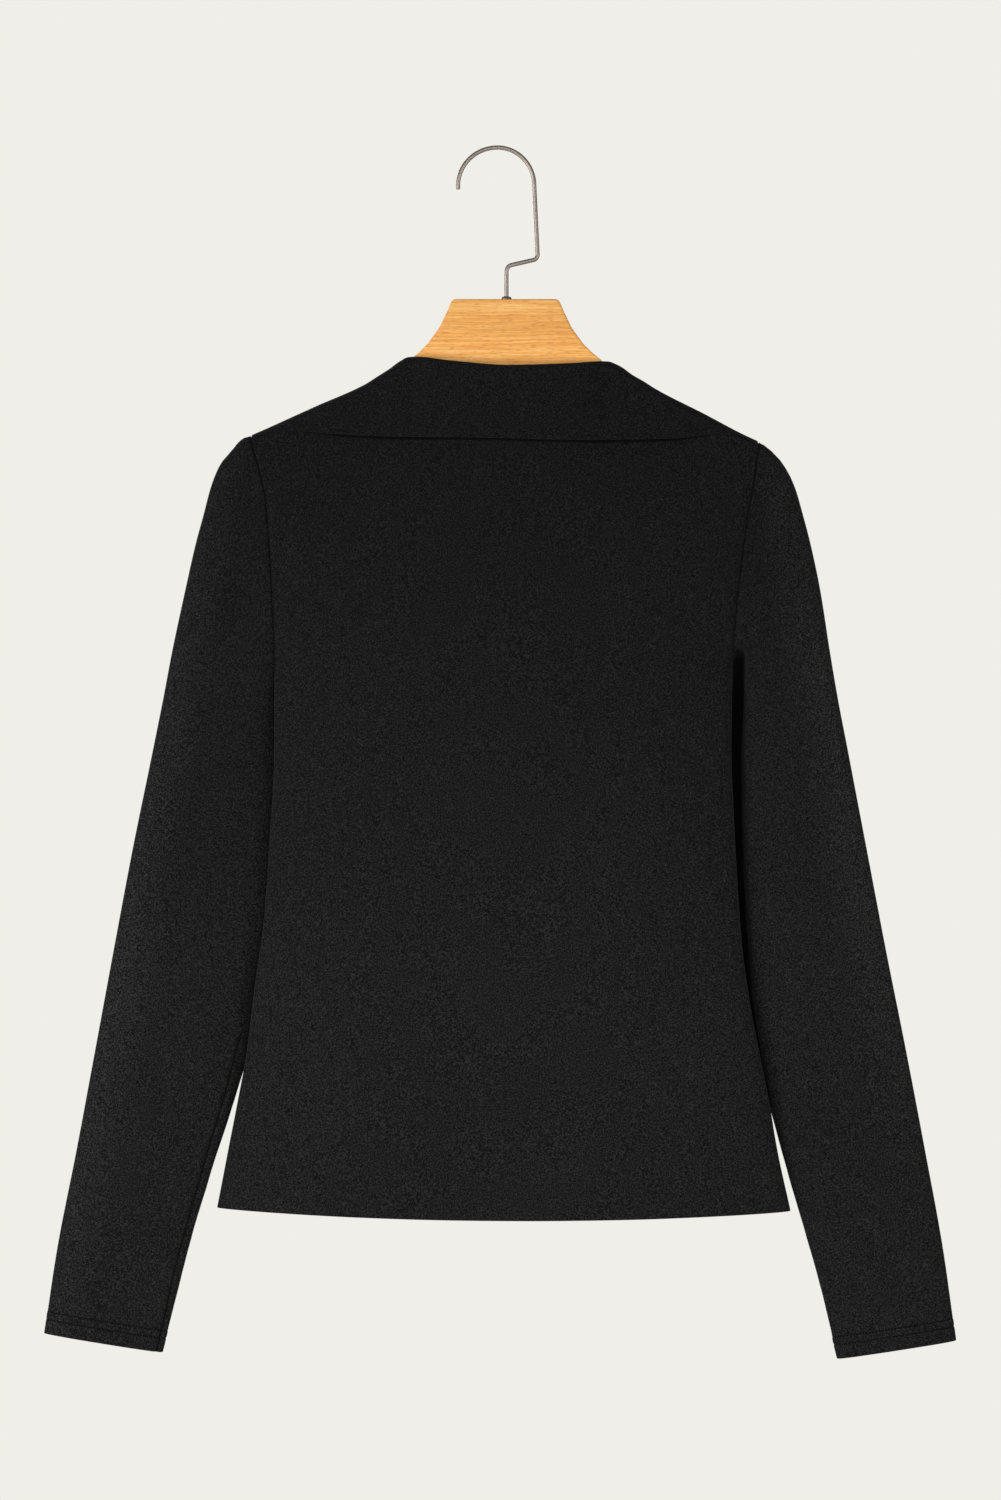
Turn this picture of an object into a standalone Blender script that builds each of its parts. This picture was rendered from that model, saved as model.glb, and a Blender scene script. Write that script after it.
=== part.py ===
# Boat neck top on a clothes hanger.
# Units: the tables and sizes are in millimetres, the objects in metres, +Z up.
# Origin: inner top of the hook, where it rests on a rail. The wood's middle plane is Y = 0,
# the garment's back faces -Y and its front +Y. -X is the wearer's left.
import math

import bmesh
import bpy
import numpy as np

# ------------------------------------------------------------------ driving sizes (mm)
MM = 0.001
CLOTH = 1.2            # wall of one layer of jersey
GAP = 0.3              # between pieces that are sewn together
BAND_GAP = 0.5         # between a panel and the band that lies on it
SHOULDER_DEPTH = 8.6   # half the depth of the garment over the board
SHOULDER_ROLL = 6.0    # height over which the cloth rolls across the board's top edge
NECK_ROLL = 2.2        # radius of the fold at the neckline
NECK_LEFT = -68.0      # ends of the neck opening
NECK_RIGHT = 83.0
NECK_OPEN_BACK = 14.0  # from the wood's middle plane to the neckline, back and front
NECK_OPEN_FRONT = 16.0
FRONT_NECK_DROP = 20.0  # how much lower the front neckline dips
COLLAR_LEFT = -165.7   # ends of the turned-down band, where it wraps the shoulders
COLLAR_RIGHT = 174.2
UNDERARM_LEFT = -372.7
UNDERARM_RIGHT = -369.5
HEM_SAG = 7.0          # the hem's middle hangs lower than its corners

WOOD_CENTRE = 5.8      # x of the board's middle
WOOD_THICK = 10.0
WOOD_EDGE = 1.5        # rounding of the board's edges
WOOD_TOP = -109.6
WIRE = 2.8             # hook wire diameter
STEM_X = 6.5
STEM_BORE = 1.75       # radius of the hole for the stem
HOOK_RADIUS = 27.8     # of the wire's centre line, upward; sideways it is a little different
HOOK_RIGHT, HOOK_LEFT = 26.8, 28.8
FERRULE_RADIUS = 3.8
FERRULE_HEIGHT = 1.9

# ------------------------------------------------------------------ tables (mm)
# top outline of the garment seen from behind, over the band: x, z
TOP_LINE = (
    (-186.0, -210.6), (-165.7, -202.0), (-130.7, -186.5), (-95.6, -171.3), (-86.9, -165.8),
    (-78.1, -160.2), (-69.4, -154.0), (-65.0, -152.1), (-60.6, -152.0), (-34.3, -155.2),
    (9.0, -158.5), (53.3, -157.1), (76.0, -155.3), (80.5, -155.2), (88.3, -158.0),
    (97.1, -164.2), (105.9, -169.3), (114.6, -174.8), (149.7, -192.3), (175.9, -205.4),
    (196.0, -215.2),
)
# free lower edge of the band: x, z
COLLAR_EDGE = (
    (-166.0, -207.6), (-157.0, -206.2), (-146.0, -205.8), (-100.0, -209.1), (-49.0, -210.6),
    (2.0, -211.4), (53.0, -212.7), (104.0, -212.4), (148.0, -209.6), (164.0, -208.9),
    (174.0, -210.2),
)
# sides of the body: armhole seam down to the underarm, side seam below it: z, x
SIDE_LEFT = (
    (-205.0, -180.9), (-219.4, -178.9), (-255.9, -170.1), (-288.7, -167.2), (-328.9, -164.6),
    (-372.7, -162.8), (-440.0, -163.0), (-505.0, -166.4), (-560.0, -170.3), (-613.6, -177.6),
    (-659.6, -183.2), (-693.9, -189.5), (-730.4, -196.6), (-772.0, -204.6),
)
SIDE_RIGHT = (
    (-208.0, 191.2), (-215.0, 190.5), (-237.6, 187.6), (-270.5, 181.8), (-303.3, 177.4),
    (-343.5, 173.2), (-369.5, 171.9), (-438.4, 170.8), (-480.7, 172.3), (-535.5, 175.2),
    (-584.4, 178.9), (-625.3, 184.7), (-652.3, 189.8), (-693.1, 198.0), (-730.4, 204.3),
    (-774.5, 213.9),
)
# half depth of the body at its middle: z, back, front
DEPTH = (
    (-150.0, 16.5, 18.5), (-250.0, 17.0, 19.0), (-372.0, 18.0, 20.0), (-440.0, 18.5, 20.0),
    (-560.0, 18.0, 19.0), (-680.0, 16.5, 17.0), (-780.0, 15.0, 15.5),
)
# outer silhouette of the sleeves: z, left x, right x
SLEEVE_OUTER = (
    (-207.9, -180.3, 182.5), (-209.6, -183.3, 185.0), (-212.1, -187.1, 189.2),
    (-220.8, -194.9, 200.5), (-229.6, -202.1, 208.3), (-244.9, -208.7, 216.4),
    (-266.8, -214.6, 223.0), (-288.7, -220.5, 228.7), (-321.6, -227.9, 235.6),
    (-365.4, -237.3, 242.5), (-401.9, -244.3, 248.8), (-438.4, -251.7, 255.9),
    (-511.4, -266.7, 269.9), (-584.4, -280.5, 283.9), (-657.4, -294.0, 298.5),
    (-730.4, -307.6, 312.4), (-803.4, -321.9, 325.7), (-868.7, -331.7, 334.9),
)
# rings of a sleeve's head, each sewn to the panels at one of their rows: row, outer z left and right
CAP_RINGS = (
    (1, -208.0, -213.0), (2, -210.8, -216.2), (3, -215.0, -220.5), (4, -223.5, -228.0),
    (5, -236.5, -240.0), (6, -257.0, -258.0), (7, -284.0, -283.0), (8, -313.0, -311.0),
    (9, -338.5, -336.0),
)
# rings of the sleeves below the underarm: outer z, inner x, inner z, inner y, outer y, half depth
LEFT_RINGS = (
    (-364.0, -163.1, -372.7, 0.0, 0.0, 10.0), (-374.5, -163.4, -385.0, 3.0, 0.3, 10.0),
    (-388.0, -162.2, -400.0, 8.0, 0.8, 10.0), (-407.0, -160.8, -420.0, 12.0, 1.2, 10.0),
    (-445.5, -157.8, -460.0, 14.0, 2.0, 10.0), (-494.0, -158.5, -510.0, 14.5, 2.5, 10.0),
    (-543.0, -164.5, -560.0, 14.5, 3.0, 9.5), (-596.5, -177.5, -614.0, 13.0, 3.5, 9.0),
    (-640.0, -182.6, -657.0, 11.5, 3.5, 9.0), (-684.0, -194.6, -700.0, 9.0, 3.5, 8.5),
    (-729.0, -209.4, -745.0, 7.0, 3.5, 8.0), (-774.5, -222.7, -790.0, 6.0, 3.5, 7.5),
    (-820.0, -234.6, -835.0, 5.0, 3.5, 7.0), (-864.2, -245.6, -878.1, 4.0, 3.5, 6.5),
)
RIGHT_RINGS = (
    (-361.0, 172.2, -369.5, 0.0, 0.0, 10.0), (-374.5, 172.1, -385.0, 3.0, 0.3, 10.0),
    (-388.0, 170.8, -400.0, 8.0, 0.8, 10.0), (-407.0, 168.8, -420.0, 12.0, 1.2, 10.0),
    (-445.5, 165.8, -460.0, 14.0, 2.0, 10.0), (-494.0, 166.3, -510.0, 14.5, 2.5, 10.0),
    (-543.0, 170.0, -560.0, 14.5, 3.0, 9.5), (-596.5, 177.5, -614.0, 13.5, 3.5, 9.0),
    (-640.0, 187.5, -657.0, 12.5, 3.5, 9.0), (-686.0, 201.0, -702.0, 9.5, 3.5, 8.5),
    (-731.0, 212.4, -747.0, 7.0, 3.5, 8.0), (-777.5, 225.9, -793.0, 6.0, 3.5, 7.5),
    (-824.0, 238.5, -838.5, 5.0, 3.5, 7.0), (-869.4, 248.6, -882.9, 4.0, 3.5, 6.5),
)
# body rows: drop below the top line, level lower down, how far the row has become level
BODY_ROWS = (
    (14.0, 0.0, 0.0), (27.0, 0.0, 0.0), (48.0, -262.0, 0.35), (76.0, -291.0, 0.70),
    (0.0, -320.0, 1.0), (0.0, -347.0, 1.0), (0.0, -372.7, 1.0), (0.0, -392.0, 1.0),
    (0.0, -415.0, 1.0), (0.0, -455.0, 1.0), (0.0, -505.0, 1.0), (0.0, -560.0, 1.0),
    (0.0, -615.0, 1.0), (0.0, -665.0, 1.0), (0.0, -718.0, 1.0), (0.0, -773.0, 1.0),
)
# body columns, as fractions from the left side to the right side
BODY_COLUMNS = (
    0.0, 0.010, 0.040, 0.08, 0.15, 0.23, 0.285, 0.303, 0.3075, 0.3125, 0.320, 0.332, 0.365,
    0.43, 0.505, 0.58, 0.64, 0.680, 0.694, 0.7015, 0.7060, 0.7105, 0.728, 0.78, 0.86, 0.925,
    0.956, 0.99, 1.0,
)
# outline of the board, half width about its middle: z, half width
WOOD_UPPER = (
    (-109.6, 36.6), (-110.2, 38.4), (-111.4, 39.4), (-114.2, 40.8), (-118.6, 42.6), (-130.3, 48.2),
    (-142.0, 56.6), (-147.8, 62.4), (-150.7, 65.7), (-153.7, 69.5), (-156.5, 71.8),
    (-159.3, 74.3), (-162.6, 79.3), (-167.2, 86.0), (-172.2, 95.5), (-180.0, 111.0),
    (-190.2, 131.0), (-200.6, 151.5), (-206.6, 163.5), (-210.2, 168.9), (-215.0, 170.4),
)
WOOD_LOWER = (
    (-218.6, 168.3), (-220.0, 163.5), (-217.0, 150.0), (-206.5, 120.0), (-196.5, 80.0),
    (-189.5, 40.0), (-187.0, 0.0),
)


# ------------------------------------------------------------------ curves through the tables
def curve(rows, key, column, at):
    """Smooth curve through a table's rows that never overshoots them."""
    pts = sorted((r[key], r[column]) for r in rows)
    x = [p[0] for p in pts]
    y = [p[1] for p in pts]
    n = len(x)
    d = [(y[i + 1] - y[i]) / (x[i + 1] - x[i]) for i in range(n - 1)]
    m = [d[0]] + [0.0] * (n - 2) + [d[-1]]
    for i in range(1, n - 1):
        if d[i - 1] * d[i] > 0:
            w1 = 2 * (x[i + 1] - x[i]) + (x[i] - x[i - 1])
            w2 = (x[i + 1] - x[i]) + 2 * (x[i] - x[i - 1])
            m[i] = (w1 + w2) / (w1 / d[i - 1] + w2 / d[i])
    if at <= x[0]:
        return y[0] + m[0] * (at - x[0])
    if at >= x[-1]:
        return y[-1] + m[-1] * (at - x[-1])
    i = max(k for k in range(n - 1) if x[k] <= at)
    h = x[i + 1] - x[i]
    t = (at - x[i]) / h
    return ((1 + 2 * t) * (1 - t) ** 2 * y[i] + t * (1 - t) ** 2 * h * m[i]
            + t * t * (3 - 2 * t) * y[i + 1] + t * t * (t - 1) * h * m[i + 1])


def smooth(t):
    t = min(max(t, 0.0), 1.0)
    return t * t * (3 - 2 * t)


def mix(a, b, t):
    return a + (b - a) * t


def bulge(q, p):
    """Rises from 0 at q = 0 to 1 at q = 1 like a superellipse's quarter."""
    q = min(max(q, 0.0), 1.0)
    return (1 - (1 - q) ** p) ** (1 / p)


# ------------------------------------------------------------------ the body's surface
def side_left(z):
    return curve(SIDE_LEFT, 0, 1, z)


def side_right(z):
    return curve(SIDE_RIGHT, 0, 1, z)


def neck_place(x):
    """-1 and 1 at the neck opening's ends, None outside it."""
    u = (x - (NECK_LEFT + NECK_RIGHT) / 2) / ((NECK_RIGHT - NECK_LEFT) / 2)
    return u if abs(u) < 1 else None


def panel_top(x, front):
    """Top of a panel, under the band: the band's thickness lower than the outline."""
    under_band = smooth((x - COLLAR_LEFT + 9) / 8) * smooth((COLLAR_RIGHT + 9 - x) / 8)
    z = curve(TOP_LINE, 0, 1, x) - (CLOTH + BAND_GAP) * 1.05 * under_band
    u = neck_place(x)
    if front and u is not None:
        z -= FRONT_NECK_DROP * (1 - u * u) ** 2
    return z


def edge_depth(x, front):
    """How far the top edge stands from the middle plane: closed over the shoulder, open at the neck."""
    u = neck_place(x)
    if u is None:
        return GAP / 2
    return max(GAP / 2, (NECK_OPEN_FRONT if front else NECK_OPEN_BACK) * (1 - abs(u) ** 3) ** 0.5)


def seam_depth(z, left):
    """Half depth of the armhole at its seam, closing to the underarm."""
    bottom = UNDERARM_LEFT if left else UNDERARM_RIGHT
    start = -300.0
    if z >= start:
        return SHOULDER_DEPTH
    q = (start - z) / (start - bottom)
    return GAP / 2 if q >= 1 else max(GAP / 2, SHOULDER_DEPTH * (1 - q ** 2.2) ** 0.5)


def depth(x, z, front):
    """Distance of a panel's outer face from the middle plane at x, z."""
    xl, xr = side_left(z), side_right(z)
    u = 2 * (x - xl) / (xr - xl) - 1
    u = min(max(u, -1.0), 1.0)
    s = seam_depth(z, u < 0)
    middle = curve(DEPTH, 0, 2 if front else 1, z)
    body = s + (middle - s) * (1 - abs(u) ** 2.6) ** 0.5
    e = max(0.0, panel_top(x, front) - z)
    edge = edge_depth(x, front)
    roll = max(NECK_ROLL, SHOULDER_DEPTH - edge)
    share = min(1.0, (roll - NECK_ROLL) / (SHOULDER_DEPTH - NECK_ROLL))
    height = mix(NECK_ROLL, SHOULDER_ROLL, share)
    top = edge + roll
    full = mix(top, body, smooth(e / 110.0))
    return edge + (full - edge) * bulge(e / height, mix(2.0, 2.5, share)), height


def panel_point(x, z, front):
    d, _ = depth(x, z, front)
    return (x, d if front else -d, z)


def roll_height(x, front):
    return depth(x, panel_top(x, front) - 40, front)[1]


# ------------------------------------------------------------------ shells from grids of points
def grid_normals(rows, flip):
    """Normals of a grid of points from its neighbours, one-sided at its edges."""
    p = np.array(rows)
    du = np.empty_like(p)
    dv = np.empty_like(p)
    du[:, 1:-1] = p[:, 2:] - p[:, :-2]
    du[:, 0] = p[:, 1] - p[:, 0]
    du[:, -1] = p[:, -1] - p[:, -2]
    dv[1:-1] = p[2:] - p[:-2]
    dv[0] = p[1] - p[0]
    dv[-1] = p[-1] - p[-2]
    n = np.cross(du, dv)
    n /= np.linalg.norm(n, axis=2, keepdims=True)
    return -n if flip else n


def shell(name, outer, inner, colour, roughness, welded_from=None):
    """Closed wall between two grids. Columns 0 and -1 are one from row welded_from on."""
    rows, cols = outer.shape[0], outer.shape[1]
    bm = bmesh.new()
    sheets = []
    for grid in (outer, inner):
        sheet = []
        for i in range(rows):
            line = [bm.verts.new(grid[i, j] * MM) for j in range(cols - 1)]
            shared = welded_from is not None and i >= welded_from
            line.append(line[0] if shared else bm.verts.new(grid[i, cols - 1] * MM))
            sheet.append(line)
        sheets.append(sheet)
    a, b = sheets
    for i in range(rows - 1):
        for j in range(cols - 1):
            bm.faces.new((a[i][j], a[i + 1][j], a[i + 1][j + 1], a[i][j + 1]))
            bm.faces.new((b[i][j], b[i][j + 1], b[i + 1][j + 1], b[i + 1][j]))
    for j in range(cols - 1):
        bm.faces.new((a[0][j], a[0][j + 1], b[0][j + 1], b[0][j]))
        bm.faces.new((a[-1][j + 1], a[-1][j], b[-1][j], b[-1][j + 1]))
    last = rows - 1 if welded_from is None else welded_from
    for i in range(last):
        bm.faces.new((a[i + 1][0], a[i][0], b[i][0], b[i + 1][0]))
        bm.faces.new((a[i][-1], a[i + 1][-1], b[i + 1][-1], b[i][-1]))
    bmesh.ops.recalc_face_normals(bm, faces=bm.faces)
    if bm.calc_volume(signed=True) < 0:
        bmesh.ops.reverse_faces(bm, faces=bm.faces)
    bmesh.ops.triangulate(bm, faces=bm.faces)
    return make_object(name, bm, colour, roughness)


def make_object(name, bm, colour, roughness, metallic=0.0):
    mesh = bpy.data.meshes.new(name)
    bm.to_mesh(mesh)
    bm.free()
    mesh.shade_smooth()
    mesh.set_sharp_from_angle(angle=math.radians(40))
    obj = bpy.data.objects.new(name, mesh)
    bpy.context.scene.collection.objects.link(obj)
    mat = bpy.data.materials.new(name)
    mat.use_nodes = True
    shader = mat.node_tree.nodes["Principled BSDF"]
    shader.inputs["Base Color"].default_value = (*colour, 1.0)
    shader.inputs["Roughness"].default_value = roughness
    shader.inputs["Metallic"].default_value = metallic
    mesh.materials.append(mat)
    return obj


JERSEY = (0.012, 0.012, 0.012)


def column_point(f, front, find_z):
    """Point of a panel on column f: its x and the height find_z gives depend on each other."""
    x, z = mix(side_left(-215.0), side_right(-215.0), f), -215.0
    for _ in range(6):
        z = find_z(x)
        x = mix(side_left(z), side_right(z), f)
    return panel_point(x, z, front)


def rolled(x, k, front):
    """Height of row k of the four that roll the top edge over."""
    return panel_top(x, front) - roll_height(x, front) * (1 - math.cos(math.radians(30 * k)))


def outward(rows, front):
    n = grid_normals(rows, flip=False)
    return n if np.mean(n[:, :, 1]) * (1 if front else -1) > 0 else -n


def body_point(k, f, front):
    """Point of a panel on row k and column f."""
    if k < 4:
        return column_point(f, front, lambda x: rolled(x, k, front))
    drop, level, flat = BODY_ROWS[k - 4]
    if level == -372.7:
        level = mix(UNDERARM_LEFT, UNDERARM_RIGHT, f)
    if level == -773.0:
        level = mix(-772.0, -774.5, f) - HEM_SAG * (1 - (2 * f - 1) ** 2)
    return column_point(f, front, lambda x: mix(panel_top(x, front) - drop, level, flat))


def panel(name, front):
    """Back or front panel: a height field off the middle plane, walled inward."""
    outer = np.array([[body_point(k, f, front) for f in BODY_COLUMNS] for k in range(4 + len(BODY_ROWS))])
    n = outward(outer, front)
    n[0, :, 1] = 0.0                       # the top edge is cut square to the cloth
    n[:, 0, 0] = np.minimum(n[:, 0, 0], 0.0)
    n[:, -1, 0] = np.maximum(n[:, -1, 0], 0.0)
    n[-1, :, 2] = 0.0                      # the hem is cut level
    n /= np.linalg.norm(n, axis=2, keepdims=True)
    inner = outer - CLOTH * n
    side = 1.0 if front else -1.0
    inner[:, :, 1] = side * np.maximum(side * inner[:, :, 1], GAP / 2)
    return shell(name, outer, inner, JERSEY, 0.9)


def collar(name, front):
    """Half of the turned-down band: the panel's own points, moved out."""
    rows = []
    for k in range(8):
        line = []
        for f in BODY_COLUMNS[2:-2]:
            def height(x):
                top = panel_top(x, front)
                low = top - curve(COLLAR_EDGE, 0, 1, x)
                e = top - rolled(x, min(k, 3), front) if k < 4 else (14.0, 27.0, low, low)[k - 4]
                return top - min(e, low * (k / 7) ** 0.6)
            point = column_point(f, front, height)
            if k > 5:                      # between two of the panel's rows the band lies on its facets
                a, b = (np.array(body_point(i, f, front)) for i in (5, 6))
                t = (a[2] - curve(COLLAR_EDGE, 0, 1, a[0])) / (a[2] - b[2])
                if t > 0:
                    point = tuple(a + (b - a) * t * (k - 5) / 2)
            line.append(point)
        rows.append(line)
    base = np.array(rows)
    n = outward(rows, front)
    n[0, :, 1] = 0.0
    n /= np.linalg.norm(n, axis=2, keepdims=True)
    return shell(name, base + (BAND_GAP + CLOTH) * n, base + BAND_GAP * n, JERSEY, 0.9)


def sleeve(name, left):
    """Set-in sleeve: open rings round its head down to the underarm, closed rings below."""
    side = side_left if left else side_right
    away = -1.0 if left else 1.0
    steps = 4
    halves = [(0, math.radians(90 * i / steps)) for i in range(steps)]
    halves += [(1, math.radians(90 * i / steps)) for i in range(steps + 1)]
    p = 2.3
    rows = []
    closed = LEFT_RINGS if left else RIGHT_RINGS
    for k in range(len(CAP_RINGS) + len(closed)):
        if k < len(CAP_RINGS):
            row, oz = CAP_RINGS[k][0], CAP_RINGS[k][1 if left else 2]
            ix, seam, iz = body_point(row, 0.0 if left else 1.0, True)
            ix += away * GAP
            ox = curve(SLEEVE_OUTER, 0, 1 if left else 2, oz)
            if row == 1:                   # a short edge across the top of the shoulder
                ox, _, oz = body_point(0, 0.0 if left else 1.0, True)
                ox += away * (GAP + 0.1)
            iy, oy, half = 0.0, 0.0, mix(seam, 10.0, smooth((row - 3) / 5))
            flat = smooth((row - 2) / 5)
        else:
            oz, ix, iz, iy, oy, half = closed[k - len(CAP_RINGS)]
            ox, seam, flat = curve(SLEEVE_OUTER, 0, 1 if left else 2, oz), 0.0, 1.0
        outer_pt, inner_pt = np.array((ox, oy, oz)), np.array((ix, iy, iz))
        ring = []
        for i, (part, angle) in enumerate(halves):
            if part == 0:
                f = 0.5 * (1 - math.cos(angle) ** (2 / p))
                h = half * math.sin(angle) ** (2 / p)
            else:
                f = 0.5 + 0.5 * math.sin(angle) ** (2 / p)
                h = seam + (half - seam) * max(0.0, math.cos(angle)) ** (2 / p)
            round_angle = math.radians(90 * i / (2 * steps))   # a plain dome over the shoulder point
            f = mix(1 - math.cos(round_angle), f, flat)
            h = mix(seam * math.sin(round_angle), h, flat)
            ring.append((outer_pt + (inner_pt - outer_pt) * f, h))
        back = [base + np.array((0.0, -h, 0.0)) for base, h in reversed(ring)]
        front = [base + np.array((0.0, h, 0.0)) for base, h in ring[1:]]
        rows.append(back + front)
    outer = np.array(rows)
    n = grid_normals(rows, flip=False)
    joined = len(CAP_RINGS)
    seam_n = n[joined:, 0] + n[joined:, -1]
    p3 = outer[joined:]
    du = p3[:, 1] - p3[:, -2]
    dv = np.gradient(p3[:, 0], axis=0)
    seam_n = np.cross(du, dv)
    seam_n /= np.linalg.norm(seam_n, axis=1, keepdims=True)
    n[joined:, 0] = seam_n
    n[joined:, -1] = seam_n
    centre = outer.mean(axis=1, keepdims=True)
    if np.sum(n * (outer - centre)) < 0:
        n = -n
    n[0, :, 0] = 0.0
    # at the armhole the cut edge leans away from the body, never into it
    n[:joined, 0, 0] = -away * np.maximum(-away * n[:joined, 0, 0], 0.0)
    n[:joined, -1, 0] = -away * np.maximum(-away * n[:joined, -1, 0], 0.0)
    n /= np.linalg.norm(n, axis=2, keepdims=True)
    inner = outer - CLOTH * n
    middle = len(halves) - 1
    inner[:joined, :middle, 1] = np.minimum(inner[:joined, :middle, 1], -GAP / 2)
    inner[:joined, middle + 1:, 1] = np.maximum(inner[:joined, middle + 1:, 1], GAP / 2)
    return shell(name, outer, inner, JERSEY, 0.9, welded_from=joined)


# ------------------------------------------------------------------ the hanger
def lathe(name, profile, x, z, colour, roughness, metallic, segments=20):
    """Ring turned about a vertical axis at x from an (r, z) profile loop."""
    bm = bmesh.new()
    loops = []
    for s in range(segments):
        a = 2 * math.pi * s / segments
        loops.append([bm.verts.new(((x + r * math.cos(a)) * MM, r * math.sin(a) * MM, (z + h) * MM))
                      for r, h in profile])
    for s in range(segments):
        a, b = loops[s], loops[(s + 1) % segments]
        for i in range(len(profile)):
            k = (i + 1) % len(profile)
            bm.faces.new((a[i], b[i], b[k], a[k]))
    bmesh.ops.recalc_face_normals(bm, faces=bm.faces)
    if bm.calc_volume(signed=True) < 0:
        bmesh.ops.reverse_faces(bm, faces=bm.faces)
    return make_object(name, bm, colour, roughness, metallic)


def hanger_bar():
    """Flat board with a tall neck and sloping arms, edges rounded, bored for the stem."""
    right = [(WOOD_CENTRE + w, z) for z, w in WOOD_UPPER + WOOD_LOWER]
    left = [(WOOD_CENTRE - w, z) for z, w in reversed(WOOD_UPPER + WOOD_LOWER[:-1])]
    bm = bmesh.new()
    verts = [bm.verts.new((x * MM, -WOOD_THICK / 2 * MM, z * MM)) for x, z in right + left]
    face = bm.faces.new(verts)
    made = bmesh.ops.extrude_face_region(bm, geom=[face])
    moved = [v for v in made["geom"] if isinstance(v, bmesh.types.BMVert)]
    bmesh.ops.translate(bm, verts=moved, vec=(0, WOOD_THICK * MM, 0))
    bmesh.ops.recalc_face_normals(bm, faces=bm.faces)
    bar = make_object("hanger_bar", bm, (0.76, 0.46, 0.19), 0.45)
    rounded = bar.modifiers.new("rounded", "BEVEL")
    rounded.width = WOOD_EDGE * MM
    rounded.segments = 2
    rounded.limit_method = "ANGLE"
    rounded.angle_limit = math.radians(50)
    cutter_mesh = bmesh.new()
    bmesh.ops.create_cone(cutter_mesh, cap_ends=True, segments=16, radius1=STEM_BORE * MM,
                          radius2=STEM_BORE * MM, depth=30 * MM)
    cutter = make_object("stem_bore", cutter_mesh, (0.5, 0.5, 0.5), 0.5)
    cutter.location = (STEM_X * MM, 0, (WOOD_TOP - 5) * MM)
    cutter.hide_render = True
    cutter.display_type = "WIRE"
    bore = bar.modifiers.new("bore", "BOOLEAN")
    bore.object = cutter
    bore.operation = "DIFFERENCE"
    bore.solver = "EXACT"
    return bar


def filleted(corners, radii, steps):
    """Polyline with its inner corners rounded to arcs."""
    out = [np.array(corners[0])]
    for i in range(1, len(corners) - 1):
        a, b, c = (np.array(corners[k], dtype=float) for k in (i - 1, i, i + 1))
        u, v = (a - b) / np.linalg.norm(a - b), (c - b) / np.linalg.norm(c - b)
        half = math.acos(float(np.clip(u @ v, -1, 1))) / 2
        cut = radii[i - 1] / math.tan(half)
        centre = b + (u + v) / np.linalg.norm(u + v) * radii[i - 1] / math.sin(half)
        p, q = b + u * cut - centre, b + v * cut - centre
        total = math.acos(float(np.clip(p @ q / radii[i - 1] ** 2, -1, 1)))
        for s in range(steps + 1):
            t = s / steps
            out.append(centre + (math.sin((1 - t) * total) * p + math.sin(t * total) * q) / math.sin(total))
    out.append(np.array(corners[-1]))
    return out


def hook_path():
    """Centre line of the hook wire in X and Z, from inside the board to the tip."""
    top = WIRE / 2
    centre = (0.0, top - HOOK_RADIUS)
    start = math.radians(4)
    first = (centre[0] + HOOK_RIGHT * math.cos(start), centre[1] + HOOK_RADIUS * math.sin(start))
    path = filleted([(STEM_X, WOOD_TOP - 18), (STEM_X, -85.2), (29.4, -80.0), first], [5.0, 4.0], 5)[:-1]
    for i in range(19):
        a = start + (math.radians(186) - start) * i / 18
        across = HOOK_RIGHT if math.cos(a) > 0 else HOOK_LEFT
        path.append(np.array((centre[0] + across * math.cos(a), centre[1] + HOOK_RADIUS * math.sin(a))))
    return path


def hanger_hook():
    data = bpy.data.curves.new("hanger_hook", "CURVE")
    data.dimensions = "3D"
    spline = data.splines.new("POLY")
    path = hook_path()
    spline.points.add(len(path) - 1)
    for point, (x, z) in zip(spline.points, path):
        point.co = (x * MM, 0, z * MM, 1)
    data.bevel_depth = WIRE / 2 * MM
    data.bevel_resolution = 3
    data.use_fill_caps = True
    hook = bpy.data.objects.new("hanger_hook", data)
    bpy.context.scene.collection.objects.link(hook)
    mat = bpy.data.materials.new("hanger_hook")
    mat.use_nodes = True
    shader = mat.node_tree.nodes["Principled BSDF"]
    shader.inputs["Base Color"].default_value = (0.42, 0.37, 0.33, 1)
    shader.inputs["Metallic"].default_value = 1.0
    shader.inputs["Roughness"].default_value = 0.3
    data.materials.append(mat)
    return hook


def ferrule():
    bore = WIRE / 2 + 0.35
    profile = [(bore, GAP), (FERRULE_RADIUS, GAP), (FERRULE_RADIUS, GAP + 0.5)]
    for i in range(1, 6):
        a = math.radians(90 * i / 5)
        profile.append((bore + (FERRULE_RADIUS - bore) * math.cos(a) * 0.97 + 0.05,
                        GAP + 0.5 + (FERRULE_HEIGHT - 0.5) * math.sin(a)))
    profile.append((bore, GAP + FERRULE_HEIGHT - 0.1))
    return lathe("hanger_ferrule", profile, STEM_X, WOOD_TOP, (0.36, 0.33, 0.3), 0.35, 1.0)


def build():
    for obj in list(bpy.data.objects):
        bpy.data.objects.remove(obj)
    panel("back", False)
    panel("front", True)
    collar("collar_back", False)
    collar("collar_front", True)
    sleeve("sleeve_left", True)
    sleeve("sleeve_right", False)
    hanger_bar()
    hanger_hook()
    ferrule()


build()
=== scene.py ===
# Boat neck top on a clothes hanger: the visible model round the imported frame.
# Sizes and tables are in millimetres, objects in metres. The garment's back faces -Y.
import math

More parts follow.
